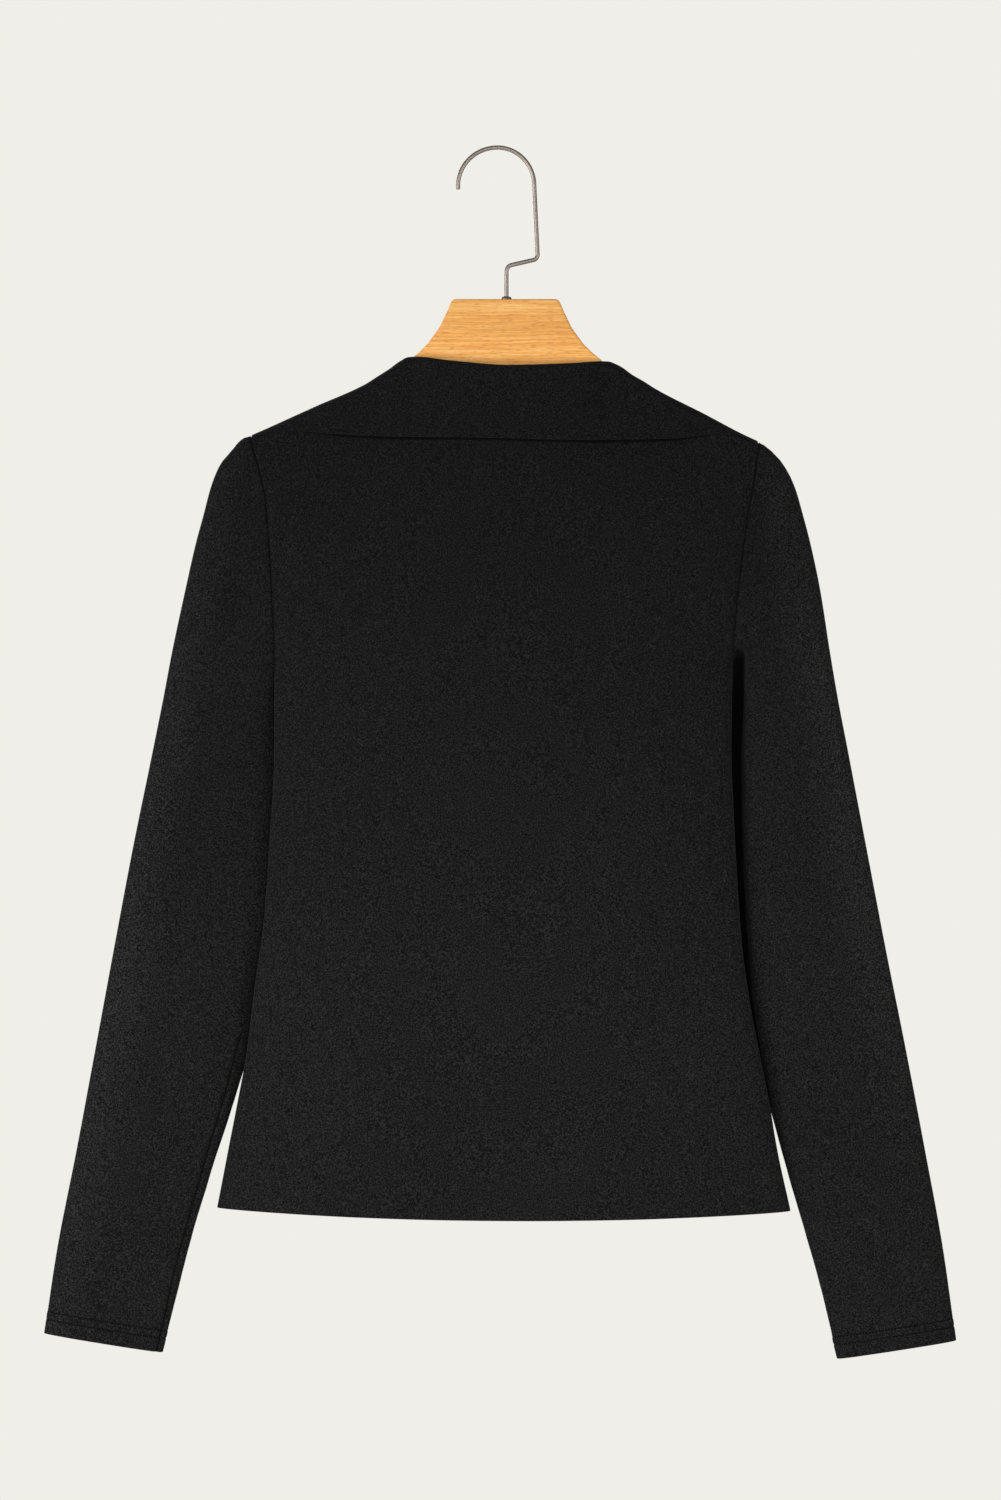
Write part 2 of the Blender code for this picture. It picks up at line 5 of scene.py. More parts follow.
import bpy
import numpy as np
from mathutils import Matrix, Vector


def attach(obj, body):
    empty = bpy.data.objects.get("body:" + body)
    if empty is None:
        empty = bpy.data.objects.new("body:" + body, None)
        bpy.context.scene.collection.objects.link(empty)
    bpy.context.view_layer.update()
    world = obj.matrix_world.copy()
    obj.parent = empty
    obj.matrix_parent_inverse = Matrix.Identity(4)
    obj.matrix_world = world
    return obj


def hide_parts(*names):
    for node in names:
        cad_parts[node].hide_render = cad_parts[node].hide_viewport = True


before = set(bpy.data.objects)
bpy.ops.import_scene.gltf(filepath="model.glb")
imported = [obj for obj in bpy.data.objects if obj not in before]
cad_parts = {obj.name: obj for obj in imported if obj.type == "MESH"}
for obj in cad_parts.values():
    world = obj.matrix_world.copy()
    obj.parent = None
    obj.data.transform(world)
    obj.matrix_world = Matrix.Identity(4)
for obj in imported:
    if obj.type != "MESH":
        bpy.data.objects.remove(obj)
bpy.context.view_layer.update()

# ------------------------------------------------------------------ the garment's sizes (mm)
MM = 0.001
CLOTH = 1.2
GAP = 0.3
BAND_GAP = 0.5
SEAM = 0.02            # the sewn pieces as seen, drawn together
SHOULDER_DEPTH = 8.6
SHOULDER_ROLL = 6.0
NECK_ROLL = 2.2
NECK_LEFT, NECK_RIGHT = -68.0, 83.0
NECK_OPEN_BACK, NECK_OPEN_FRONT = 14.0, 16.0
FRONT_NECK_DROP = 20.0
COLLAR_LEFT, COLLAR_RIGHT = -180.5, 190.5
UNDERARM_LEFT, UNDERARM_RIGHT = -372.7, -369.5
HEM_SAG = 7.0
WOOD_TOP = -109.6
WIRE = 2.8
WIRE_SEEN = 3.15
STEM_X = 6.5
HOOK_RADIUS = 27.8
HOOK_RIGHT, HOOK_LEFT = 26.8, 28.8
FERRULE_RADIUS = 3.8
FERRULE_HEIGHT = 1.9

# top outline seen from behind, over the band: x, z
TOP_LINE = (
    (-186.0, -211.4), (-165.7, -202.7), (-130.7, -187.0), (-95.6, -171.3), (-86.9, -165.8),
    (-78.1, -160.2), (-69.4, -154.0), (-65.0, -152.1), (-60.6, -152.0), (-34.3, -155.2),
    (9.0, -158.5), (53.3, -157.1), (76.0, -155.3), (80.5, -155.2), (88.3, -158.0),
    (97.1, -164.2), (105.9, -169.3), (114.6, -174.8), (149.7, -192.8), (175.9, -206.5),
    (190.5, -213.3), (196.0, -216.0),
)
# free lower edge of the band: x, z
COLLAR_EDGE = (
    (-182.0, -214.4), (-170.0, -208.3), (-157.0, -205.9), (-143.8, -206.2), (-129.2, -207.2),
    (-114.6, -208.5), (-100.0, -209.3), (-70.8, -210.6), (-34.3, -211.0), (2.2, -211.6),
    (38.7, -212.7), (75.2, -212.9), (104.4, -212.3), (119.0, -212.0), (133.6, -211.1),
    (148.2, -209.2), (162.8, -208.0), (174.0, -209.0), (192.0, -218.3),
)
# sides of the body: z, x
SIDE_LEFT = (
    (-205.0, -180.7), (-219.4, -178.0), (-234.0, -173.6), (-255.9, -168.9), (-288.7, -166.2), (-328.9, -164.0),
    (-372.7, -162.8), (-440.0, -163.0), (-505.0, -166.4), (-560.0, -170.3), (-613.6, -177.6),
    (-659.6, -183.2), (-693.9, -189.5), (-730.4, -196.6), (-772.0, -204.6),
)
SIDE_RIGHT = (
    (-208.0, 191.2), (-215.0, 190.5), (-237.6, 187.6), (-270.5, 181.8), (-303.3, 177.4),
    (-343.5, 173.2), (-369.5, 171.9), (-438.4, 170.8), (-480.7, 172.3), (-535.5, 175.2),
    (-584.4, 178.9), (-625.3, 184.7), (-652.3, 189.8), (-693.1, 198.0), (-730.4, 204.3),
    (-774.5, 213.9),
)
# half depth of the body at its middle: z, back, front
DEPTH = (
    (-150.0, 16.5, 18.5), (-250.0, 17.0, 19.0), (-372.0, 18.0, 20.0), (-440.0, 18.5, 20.0),
    (-560.0, 18.0, 19.0), (-680.0, 16.5, 17.0), (-780.0, 15.0, 15.5),
)
# outer silhouette of the sleeves: z, left x, right x
SLEEVE_OUTER = (
    (-207.9, -180.3, 182.5), (-209.6, -183.3, 185.0), (-212.1, -187.1, 189.2),
    (-220.8, -194.9, 200.5), (-229.6, -202.1, 208.3), (-244.9, -208.7, 216.4),
    (-266.8, -214.6, 223.0), (-288.7, -220.5, 228.7), (-321.6, -227.9, 235.6),
    (-365.4, -237.3, 242.5), (-401.9, -244.3, 248.8), (-438.4, -251.7, 255.9),
    (-511.4, -266.7, 269.9), (-584.4, -280.5, 283.9), (-657.4, -294.0, 298.5),
    (-730.4, -307.6, 312.4), (-803.4, -321.9, 325.7), (-868.7, -331.7, 334.9),
)
# rings of a sleeve's head: row of the panel it is sewn to, outer z left, right
CAP_RINGS = (
    (2, -210.8, -216.2), (3, -215.0, -220.5), (4, -223.5, -228.0), (5, -236.5, -240.0),
    (6, -257.0, -258.0), (7, -284.0, -283.0), (8, -313.0, -311.0), (9, -338.5, -336.0),
)
# rings below the underarm: outer z, inner x, inner z, inner y, outer y, half depth
LEFT_RINGS = (
    (-364.0, -163.1, -372.7, 0.0, 0.0, 10.0), (-374.5, -163.4, -385.0, 3.0, 0.3, 10.0),
    (-388.0, -162.2, -400.0, 8.0, 0.8, 10.0), (-407.0, -160.8, -420.0, 12.0, 1.2, 10.0),
    (-445.5, -157.8, -460.0, 14.0, 2.0, 10.0), (-494.0, -158.5, -510.0, 14.5, 2.5, 10.0),
    (-543.0, -164.5, -560.0, 14.5, 3.0, 9.5), (-596.5, -177.5, -614.0, 13.0, 3.5, 9.0),
    (-640.0, -182.6, -657.0, 11.5, 3.5, 9.0), (-684.0, -194.6, -700.0, 9.0, 3.5, 8.5),
    (-729.0, -209.4, -745.0, 7.0, 3.5, 8.0), (-774.5, -222.7, -790.0, 6.0, 3.5, 7.5),
    (-820.0, -234.6, -835.0, 5.0, 3.5, 7.0), (-864.2, -245.6, -878.1, 4.0, 3.5, 6.5),
)
RIGHT_RINGS = (
    (-361.0, 172.2, -369.5, 0.0, 0.0, 10.0), (-374.5, 172.1, -385.0, 3.0, 0.3, 10.0),
    (-388.0, 170.8, -400.0, 8.0, 0.8, 10.0), (-407.0, 168.8, -420.0, 12.0, 1.2, 10.0),
    (-445.5, 165.8, -460.0, 14.0, 2.0, 10.0), (-494.0, 166.3, -510.0, 14.5, 2.5, 10.0),
    (-543.0, 170.0, -560.0, 14.5, 3.0, 9.5), (-596.5, 177.5, -614.0, 13.5, 3.5, 9.0),
    (-640.0, 187.4, -657.0, 12.5, 3.5, 9.0), (-686.0, 200.2, -702.0, 9.5, 3.5, 8.5),
    (-731.0, 212.4, -747.0, 7.0, 3.5, 8.0), (-777.5, 225.9, -793.0, 6.0, 3.5, 7.5),
    (-824.0, 238.5, -838.5, 5.0, 3.5, 7.0), (-869.4, 248.6, -882.9, 4.0, 3.5, 6.5),
)
# body rows: drop below the top line, level lower down, how far the row has become level
BODY_ROWS = (
    (14.0, 0.0, 0.0), (27.0, 0.0, 0.0), (48.0, -262.0, 0.35), (76.0, -291.0, 0.70),
    (0.0, -320.0, 1.0), (0.0, -347.0, 1.0), (0.0, -372.7, 1.0), (0.0, -392.0, 1.0),
    (0.0, -415.0, 1.0), (0.0, -455.0, 1.0), (0.0, -505.0, 1.0), (0.0, -560.0, 1.0),
    (0.0, -615.0, 1.0), (0.0, -665.0, 1.0), (0.0, -718.0, 1.0), (0.0, -773.0, 1.0),
)
BODY_COLUMNS = (
    0.0, 0.010, 0.040, 0.08, 0.15, 0.23, 0.285, 0.303, 0.3075, 0.3125, 0.320, 0.332, 0.365,
    0.43, 0.505, 0.58, 0.64, 0.680, 0.694, 0.7015, 0.7060, 0.7105, 0.728, 0.78, 0.86, 0.925,
    0.956, 0.99, 1.0,
)

# ------------------------------------------------------------------ what the cloth does (mm)
# soft ridges (+) and troughs (-): from x, z to x, z, sideways bend, width at each end, height
BACK_CREASES = (
    (-176, -214, -128, -262, 5, 7, 16, -0.55), (-172, -226, -140, -300, -6, 6, 15, 0.45),
    (186, -218, 140, -268, -5, 7, 16, -0.55), (184, -234, 150, -306, 6, 6, 15, 0.40),
    (-150, -345, -60, -300, 10, 10, 26, -0.70), (-158, -378, -70, -352, 9, 9, 26, 0.55),
    (162, -352, 86, -312, -9, 10, 26, -0.60), (168, -392, 96, -362, -8, 9, 24, 0.45),
    (-120, -452, -20, -476, 12, 20, 34, 0.60), (-96, -530, 30, -560, -12, 24, 40, -0.60),
    (20, -444, 140, -468, -10, 20, 32, 0.50), (70, -560, 168, -534, 10, 22, 30, -0.45),
    (-172, -600, -90, -640, 8, 14, 30, 0.55), (60, -668, 190, -640, -8, 18, 34, 0.45),
    (-150, -700, -30, -722, 9, 20, 36, -0.40),
)
FRONT_CREASES = (
    (-172, -216, -120, -270, 6, 7, 17, -0.60), (-168, -232, -132, -310, -6, 6, 16, 0.50),
    (182, -222, 136, -276, -6, 7, 17, -0.55), (178, -240, 146, -314, 5, 6, 15, 0.45),
    (-60, -232, 40, -258, -12, 9, 22, -0.80), (-30, -262, 70, -292, 12, 11, 26, 0.60),
    (-152, -350, -50, -312, 11, 10, 28, -0.75), (-156, -388, -60, -360, 10, 9, 26, 0.60),
    (160, -356, 78, -318, -9, 10, 26, -0.65), (164, -398, 90, -372, -9, 9, 26, 0.50),
    (-110, -470, 10, -446, -12, 22, 34, 0.65), (-80, -556, 50, -528, 12, 24, 38, -0.60),
    (40, -470, 150, -500, 9, 20, 30, 0.50), (-160, -622, -70, -650, 8, 14, 30, 0.55),
    (50, -640, 180, -676, -9, 18, 34, 0.50), (-140, -716, 0, -700, 9, 20, 36, -0.40),
)
LEFT_CREASES = (
    (-206, -262, -178, -336, -7, 6, 11, -1.5), (-214, -272, -196, -350, -5, 6, 11, 0.8),
    (-222, -296, -186, -372, 8, 7, 12, -0.9), (-196, -232, -176, -262, 3, 4, 8, -0.7),
    (-190, -350, -226, -420, -6, 8, 16, -0.8), (-180, -420, -234, -470, 7, 9, 18, 0.7),
    (-186, -500, -246, -540, -7, 10, 20, -0.7), (-214, -560, -268, -590, 6, 10, 18, 0.6),
    (-206, -620, -276, -664, 8, 10, 20, -0.6), (-228, -700, -290, -724, -6, 10, 18, 0.5),
    (-246, -780, -306, -800, 6, 10, 18, -0.5),
)
RIGHT_CREASES = (
    (198, -254, 182, -318, 6, 7, 12, -1.4), (212, -262, 196, -336, 5, 6, 11, 0.7),
    (236, -292, 206, -330, -5, 7, 10, -1.2), (228, -318, 192, -368, -7, 7, 12, 0.8),
    (196, -232, 188, -262, -3, 4, 8, -0.6), (200, -352, 238, -428, 6, 8, 16, -0.8),
    (200, -440, 246, -492, -7, 9, 18, 0.7), (206, -520, 262, -560, 7, 10, 20, -0.6),
    (222, -600, 280, -632, -6, 10, 18, 0.6), (236, -690, 296, -716, 7, 10, 20, -0.6),
    (250, -786, 322, -862, -10, 9, 15, 1.5), (262, -772, 328, -834, -9, 9, 14, -1.3),
)
# right sleeve: where its cloth folds over and runs in behind the body, deep in shadow: z, x, depth
TUCK = (
    (-366.0, 181.8, 10.5), (-380.0, 181.4, 12.5), (-410.0, 180.8, 13.5), (-439.8, 180.0, 13.5),
    (-480.7, 179.8, 13.5),
    (-521.6, 181.0, 13.0), (-576.3, 184.0, 12.0), (-617.2, 187.6, 10.5), (-655.2, 192.7, 8.0),
    (-690.0, 199.4, 4.0), (-705.0, 202.0, 0.0),
)
# left sleeve: its seam, turned to the back: z, x
LEFT_SEAM = (
    (-620.0, -181.0), (-664.7, -192.7), (-693.9, -200.2), (-723.1, -209.3), (-752.3, -217.5),
    (-796.1, -229.8), (-825.3, -237.4), (-854.5, -243.6), (-882.0, -250.4),
)
CUFF_ROWS = (10.2, 16.0)       # stitch lines above the cuff's edge
STITCH = 2.3                   # length of a stitch with its gap


# ------------------------------------------------------------------ curves through the tables
class Curve:
    """Smooth curve through a table's rows that never overshoots them."""

    def __init__(self, rows, key, column):
        pts = sorted((r[key], r[column]) for r in rows)
        self.x = np.array([p[0] for p in pts], float)
        self.y = np.array([p[1] for p in pts], float)
        h, d = np.diff(self.x), np.diff(self.y) / np.diff(self.x)
        m = np.zeros(len(pts))
        m[0], m[-1] = d[0], d[-1]
        for i in range(1, len(pts) - 1):
            if d[i - 1] * d[i] > 0:
                w1, w2 = 2 * h[i] + h[i - 1], h[i] + 2 * h[i - 1]
                m[i] = (w1 + w2) / (w1 / d[i - 1] + w2 / d[i])
        self.m = m

    def __call__(self, at):
        x, y, m = self.x, self.y, self.m
        at = np.asarray(at, float)
        i = np.clip(np.searchsorted(x, at, side="right") - 1, 0, len(x) - 2)
        h = x[i + 1] - x[i]
        t = (at - x[i]) / h
        v = ((1 + 2 * t) * (1 - t) ** 2 * y[i] + t * (1 - t) ** 2 * h * m[i]
             + t * t * (3 - 2 * t) * y[i + 1] + t * t * (t - 1) * h * m[i + 1])
        v = np.where(at < x[0], y[0] + m[0] * (at - x[0]), v)
        return np.where(at > x[-1], y[-1] + m[-1] * (at - x[-1]), v)


def smooth(t):
    t = np.clip(t, 0.0, 1.0)
    return t * t * (3 - 2 * t)


def mix(a, b, t):
    return a + (b - a) * t


def bulge(q, p):
    q = np.clip(q, 0.0, 1.0)
    return (1 - (1 - q) ** p) ** (1 / p)


side_left = Curve(SIDE_LEFT, 0, 1)
side_right = Curve(SIDE_RIGHT, 0, 1)
top_line = Curve(TOP_LINE, 0, 1)
collar_edge = Curve(COLLAR_EDGE, 0, 1)
depth_back = Curve(DEPTH, 0, 1)
depth_front = Curve(DEPTH, 0, 2)
tuck_x = Curve(TUCK, 0, 1)
tuck_depth = Curve(TUCK, 0, 2)
left_seam = Curve(LEFT_SEAM, 0, 1)


# ------------------------------------------------------------------ the body's surface
def neck_place(x):
    u = (x - (NECK_LEFT + NECK_RIGHT) / 2) / ((NECK_RIGHT - NECK_LEFT) / 2)
    return np.clip(u, -1.0, 1.0)


def band_share(x):
    """The band is pressed thin where its ends run into the armhole seams."""
    return smooth((x - COLLAR_LEFT - 2.0) / 32.0) * smooth((COLLAR_RIGHT - 2.0 - x) / 32.0)


def panel_top(x, front):
    z = top_line(x) - mix(0.35, (CLOTH + BAND_GAP) * 1.05, band_share(x))
    if front:
        z = z - FRONT_NECK_DROP * (1 - neck_place(x) ** 2) ** 2
    return z


def edge_depth(x, front):
    u = np.abs(neck_place(x))
    return np.maximum(GAP / 2, (NECK_OPEN_FRONT if front else NECK_OPEN_BACK) * np.sqrt(1 - u ** 3))


def roll_height(x, front):
    roll = np.maximum(NECK_ROLL, SHOULDER_DEPTH - edge_depth(x, front))
    return mix(NECK_ROLL, SHOULDER_ROLL, np.minimum(1.0, (roll - NECK_ROLL) / (SHOULDER_DEPTH - NECK_ROLL)))


def seam_depth(z, bottom):
    q = np.clip((-300.0 - z) / (-300.0 - bottom), 0.0, 1.0)
    return np.maximum(GAP / 2, SHOULDER_DEPTH * np.sqrt(1 - q ** 2.2))


def depth(x, z, front):
    """Distance of a panel's outer face from the middle plane at x, z."""
    xl, xr = side_left(z), side_right(z)
    u = np.clip(2 * (x - xl) / (xr - xl) - 1, -1.0, 1.0)
    s = np.where(u < 0, seam_depth(z, UNDERARM_LEFT), seam_depth(z, UNDERARM_RIGHT))
    middle = (depth_front if front else depth_back)(z)
    body = s + (middle - s) * np.sqrt(1 - np.abs(u) ** 2.6)
    e = np.maximum(0.0, panel_top(x, front) - z)
    edge = edge_depth(x, front)
    roll = np.maximum(NECK_ROLL, SHOULDER_DEPTH - edge)
    share = np.minimum(1.0, (roll - NECK_ROLL) / (SHOULDER_DEPTH - NECK_ROLL))
    full = mix(edge + roll, body, smooth(e / 110.0))
    return edge + (full - edge) * bulge(e / mix(NECK_ROLL, SHOULDER_ROLL, share), mix(2.0, 2.5, share))


def row_height(k, x, f, front):
    drop, level, flat = BODY_ROWS[k - 4]
    if level == -372.7:
        level = mix(UNDERARM_LEFT, UNDERARM_RIGHT, f)
    elif level == -773.0:
        level = mix(-772.0, -774.5, f) - HEM_SAG * (1 - (2 * f - 1) ** 2)
    return mix(panel_top(x, front) - drop, level, flat)


def height(r, x, f, front):
    """Height of row r of a panel, whole rows being the frame's."""
    if r < 3:
        return panel_top(x, front) - roll_height(x, front) * (1 - math.cos(math.radians(30 * r)))
    if r < 4:
        return mix(panel_top(x, front) - roll_height(x, front), row_height(4, x, f, front), r - 3)
    k = min(int(r), 18)
    return mix(row_height(k, x, f, front), row_height(k + 1, x, f, front), r - k)


def solve(f, front, find_z):
    z = np.full_like(f, -215.0)
    for _ in range(7):
        x = mix(side_left(z), side_right(z), f)
        z = find_z(x)
    x = mix(side_left(z), side_right(z), f)
    return np.stack([x, depth(x, z, front) * (1 if front else -1), z], axis=-1)


def body_row(r, f, front):
    return solve(f, front, lambda x: height(r, x, f, front))


# ------------------------------------------------------------------ creases and small unevenness
def crease(x, z, row):
    """A soft ridge or trough along a bent line, uneven in width, dying away at both ends."""
    x0, z0, x1, z1, bend, w0, w1, h = row
    dx, dz = x1 - x0, z1 - z0
    length = math.hypot(dx, dz)
    t = ((x - x0) * dx + (z - z0) * dz) / length ** 2
    off = ((x - x0) * -dz + (z - z0) * dx) / length
    off = off - bend * 4 * t * (1 - t)
    w = mix(w0, w1, np.clip(t, 0, 1))
    lean = np.where(off > 0, 0.75, 1.3)      # steeper on one side
    along = smooth((t + 0.12) / 0.34) * smooth((1.15 - t) / 0.45)
    return h * np.exp(-(off / (w * lean)) ** 2) * along


def ripple(x, z, wave, seed):
    """Gentle unevenness without a direction, from a few fixed waves."""
    rng = np.random.default_rng(seed)
    total = np.zeros_like(x)
    for _ in range(14):
        a, s, p = rng.uniform(0, math.pi), rng.uniform(0.6, 1.6), rng.uniform(0, 2 * math.pi)
        total += np.sin((x * math.cos(a) + z * math.sin(a)) * 2 * math.pi / (wave * s) + p)
    return total / math.sqrt(14)


def line_groove(d, width):
    return np.exp(-(d / width) ** 2)


def unevenness(x, z, rows, seed):
    total = sum(crease(x, z, r) for r in rows)
    return total + 0.22 * ripple(x, z, 75.0, seed) + 0.07 * ripple(x, z, 24.0, seed + 1)


def body_relief(x, z, front):
    """How far the cloth stands off its plain form, outward."""
    e = panel_top(x, front) - z
    total = unevenness(x, z, FRONT_CREASES if front else BACK_CREASES, 11 if front else 5) * smooth(e / 30.0)
    left, right = x - side_left(z), side_right(z) - x
    above = smooth((z + 380.0) / 16.0)
    for d, s in ((left, 31), (right, 32)):
        pull = 1 + 0.35 * np.sin(z / 2.1 + s) * np.sin(z / 7.7 + 2 * s)
        total = total * smooth((d + 1.0) / 9.0)
        total = total - above * pull * (0.75 * line_groove(d, 0.55) + 0.30 * line_groove(d, 2.0))
    # the seam under the band's free edge is drawn in, most in the middle
    strong = smooth((x + 150.0) / 50.0) * smooth((160.0 - x) / 44.0)
    d = z - collar_edge(x) + 0.4
    total = total - mix(0.3, 1.9, strong) * line_groove(d, 1.9)
    # the hem, turned up once: a little fuller than the single cloth above it
    hem = mix(-772.0, -774.5, (x + 205) / 419.0) - HEM_SAG * (1 - np.clip((x - 4.6) / 209.0, -1, 1) ** 2)
    d = z - hem
    return total + 0.22 * smooth((21.0 - d) / 3.0) - 0.12 * line_groove(d - 20.0, 1.2)


# ------------------------------------------------------------------ meshes
def grid_normals(p):
    du, dv = np.empty_like(p), np.empty_like(p)
    du[:, 1:-1] = p[:, 2:] - p[:, :-2]
    du[:, 0], du[:, -1] = p[:, 1] - p[:, 0], p[:, -1] - p[:, -2]
    dv[1:-1] = p[2:] - p[:-2]
    dv[0], dv[-1] = p[1] - p[0], p[-1] - p[-2]
    n = np.cross(du, dv)
    return n / np.maximum(np.linalg.norm(n, axis=2, keepdims=True), 1e-9)


def weld_normals(n, p, welded):
    """The normals of the first and last columns where they are one."""
    du = p[welded:, 1] - p[welded:, -2]
    dv = np.gradient(p[welded:, 0], axis=0)
    s = np.cross(du, dv)
    s /= np.linalg.norm(s, axis=1, keepdims=True)
    n[welded:, 0] = s
    n[welded:, -1] = s


def flat_lengths(p):
    """Distances across and along the cloth from its middle column and its lower edge, in mm."""
    across = np.zeros(p.shape[:2])
    along = np.zeros(p.shape[:2])
    across[:, 1:] = np.cumsum(np.linalg.norm(np.diff(p, axis=1), axis=2), axis=1)
    across -= across[:, p.shape[1] // 2][:, None]
    steps = np.linalg.norm(np.diff(p, axis=0), axis=2)
    along[:-1] = np.cumsum(steps[::-1], axis=0)[::-1]
    return across, along


def unit(v):
    return v / np.maximum(np.linalg.norm(v, axis=-1, keepdims=True), 1e-9)


def shell(name, outer, inner, rounding, welded=None, lines=None, gap=None, stitch=None):
    """Closed wall between two grids, its cut edges rounded by (top, bottom, sides) mm.

    lines is each point's signed distance from the nearest sewn seam, along which the knit paints
    shade; gap is a pair, the signed distance from the rim of a gap between layers, negative down in
    it, and how deep the gap is, which set the painted shadow in the gap; stitch counts the stitches
    round a cuff, for the painted shade round each stitch.
    """
    rows, cols = outer.shape[:2]
    count = rows * cols
    index = np.arange(count).reshape(rows, cols)
    if welded is not None:
        index[welded:, -1] = index[welded:, 0]
    a, b = index, index + count
    verts = [outer.reshape(-1, 3), inner.reshape(-1, 3)]
    faces = [
        np.stack([a[:-1, :-1], a[1:, :-1], a[1:, 1:], a[:-1, 1:]], -1).reshape(-1, 4),
        np.stack([b[:-1, :-1], b[:-1, 1:], b[1:, 1:], b[1:, :-1]], -1).reshape(-1, 4),
    ]
    made = 2 * count

    def strip(oa, ia, pa, back, amount, closed=False):
        """Rounded edge from the outer line oa to the inner line ia; pa, back are points and the row behind."""
        nonlocal made
        middle = (pa[0] + pa[1]) / 2 + unit((pa[0] + pa[1]) / 2 - back) * amount
        m = made + np.arange(len(middle))
        if closed:
            m[-1] = m[0]
        verts.append(middle)
        made += len(middle)
        faces.append(np.stack([oa[:-1], oa[1:], m[1:], m[:-1]], -1))
        faces.append(np.stack([m[:-1], m[1:], ia[1:], ia[:-1]], -1))

    mid = (outer + inner) / 2
    top, bottom, sides = rounding
    strip(a[0], b[0], (outer[0], inner[0]), mid[1], top)
    strip(a[-1][::-1], b[-1][::-1], (outer[-1][::-1], inner[-1][::-1]), mid[-2][::-1], bottom,
          closed=welded is not None)
    last = rows if welded is None else welded + 1
    strip(a[:last, 0][::-1], b[:last, 0][::-1], (outer[:last, 0][::-1], inner[:last, 0][::-1]),
          mid[:last, 1][::-1], sides)
    strip(a[:last, -1], b[:last, -1], (outer[:last, -1], inner[:last, -1]), mid[:last, -2], sides)
    verts = np.vstack(verts)
    faces = np.vstack(faces)
    used = np.unique(faces)
    renumber = np.full(len(verts), -1)
    renumber[used] = np.arange(len(used))
    across, along = flat_lengths(outer)
    cloth = np.stack([across, along, np.full_like(across, 50.0) if lines is None else lines], -1).reshape(-1, 3)
    cloth = np.vstack([cloth, cloth, np.zeros((len(verts) - 2 * count, 3))])
    # points of the rounded edges take the coordinates of the nearest outer point of their line
    start = 2 * count
    for line in (index[0], index[-1][::-1], index[:last, 0][::-1], index[:last, -1]):
        cloth[start:start + len(line)] = cloth[line]
        start += len(line)
    mesh = bpy.data.meshes.new(name)
    mesh.from_pydata((verts[used] * MM).tolist(), [], renumber[faces].tolist())
    mesh.update()
    attribute = mesh.attributes.new("cloth", "FLOAT_VECTOR", "POINT")
    attribute.data.foreach_set("vector", (cloth[used] * MM).astype(np.float32).ravel())
    edge = np.zeros((rows, cols, 3))
    edge[:, :, 0] = 50.0
    if gap is not None:
        edge[:, :, 0], edge[:, :, 1] = gap
    if stitch is not None:
        edge[:, :, 2] = stitch
    plain = np.zeros((len(verts) - count, 3))
    plain[:, 0] = 50.0
    edge = np.vstack([edge.reshape(-1, 3), plain])
    attribute = mesh.attributes.new("edge", "FLOAT_VECTOR", "POINT")
    attribute.data.foreach_set("vector", edge[used].astype(np.float32).ravel())
    mesh.shade_smooth()
    obj = bpy.data.objects.new(name, mesh)
    bpy.context.scene.collection.objects.link(obj)
    # faces outward
    areas = np.zeros(len(mesh.polygons))
    mesh.polygons.foreach_get("area", areas)
    normals = np.zeros(3 * len(mesh.polygons))
    centres = np.zeros(3 * len(mesh.polygons))
    mesh.polygons.foreach_get("normal", normals)
    mesh.polygons.foreach_get("center", centres)
    volume = np.sum(areas * np.sum(normals.reshape(-1, 3) * centres.reshape(-1, 3), axis=1)) / 3
    if volume < 0:
        mesh.flip_normals()
    return obj


def layer_area(p):
    """Area of one layer of a grid, in square metres."""
    d1 = p[1:, 1:] - p[:-1, :-1]
    d2 = p[1:, :-1] - p[:-1, 1:]
    return float(np.sum(np.linalg.norm(np.cross(d1, d2), axis=2)) / 2 * 1e-6)


def spread(knots, step):
    """The knots with each span cut into equal parts no longer than step."""
    out = []
    for a, b in zip(knots[:-1], knots[1:]):
        n = max(1, math.ceil((b - a) / step - 1e-6))
        out += [a + (b - a) * i / n for i in range(n)]
    return np.array(out + [knots[-1]])


def facing(n, front):
    return n if np.mean(n[:, :, 1]) * (1 if front else -1) > 0 else -n


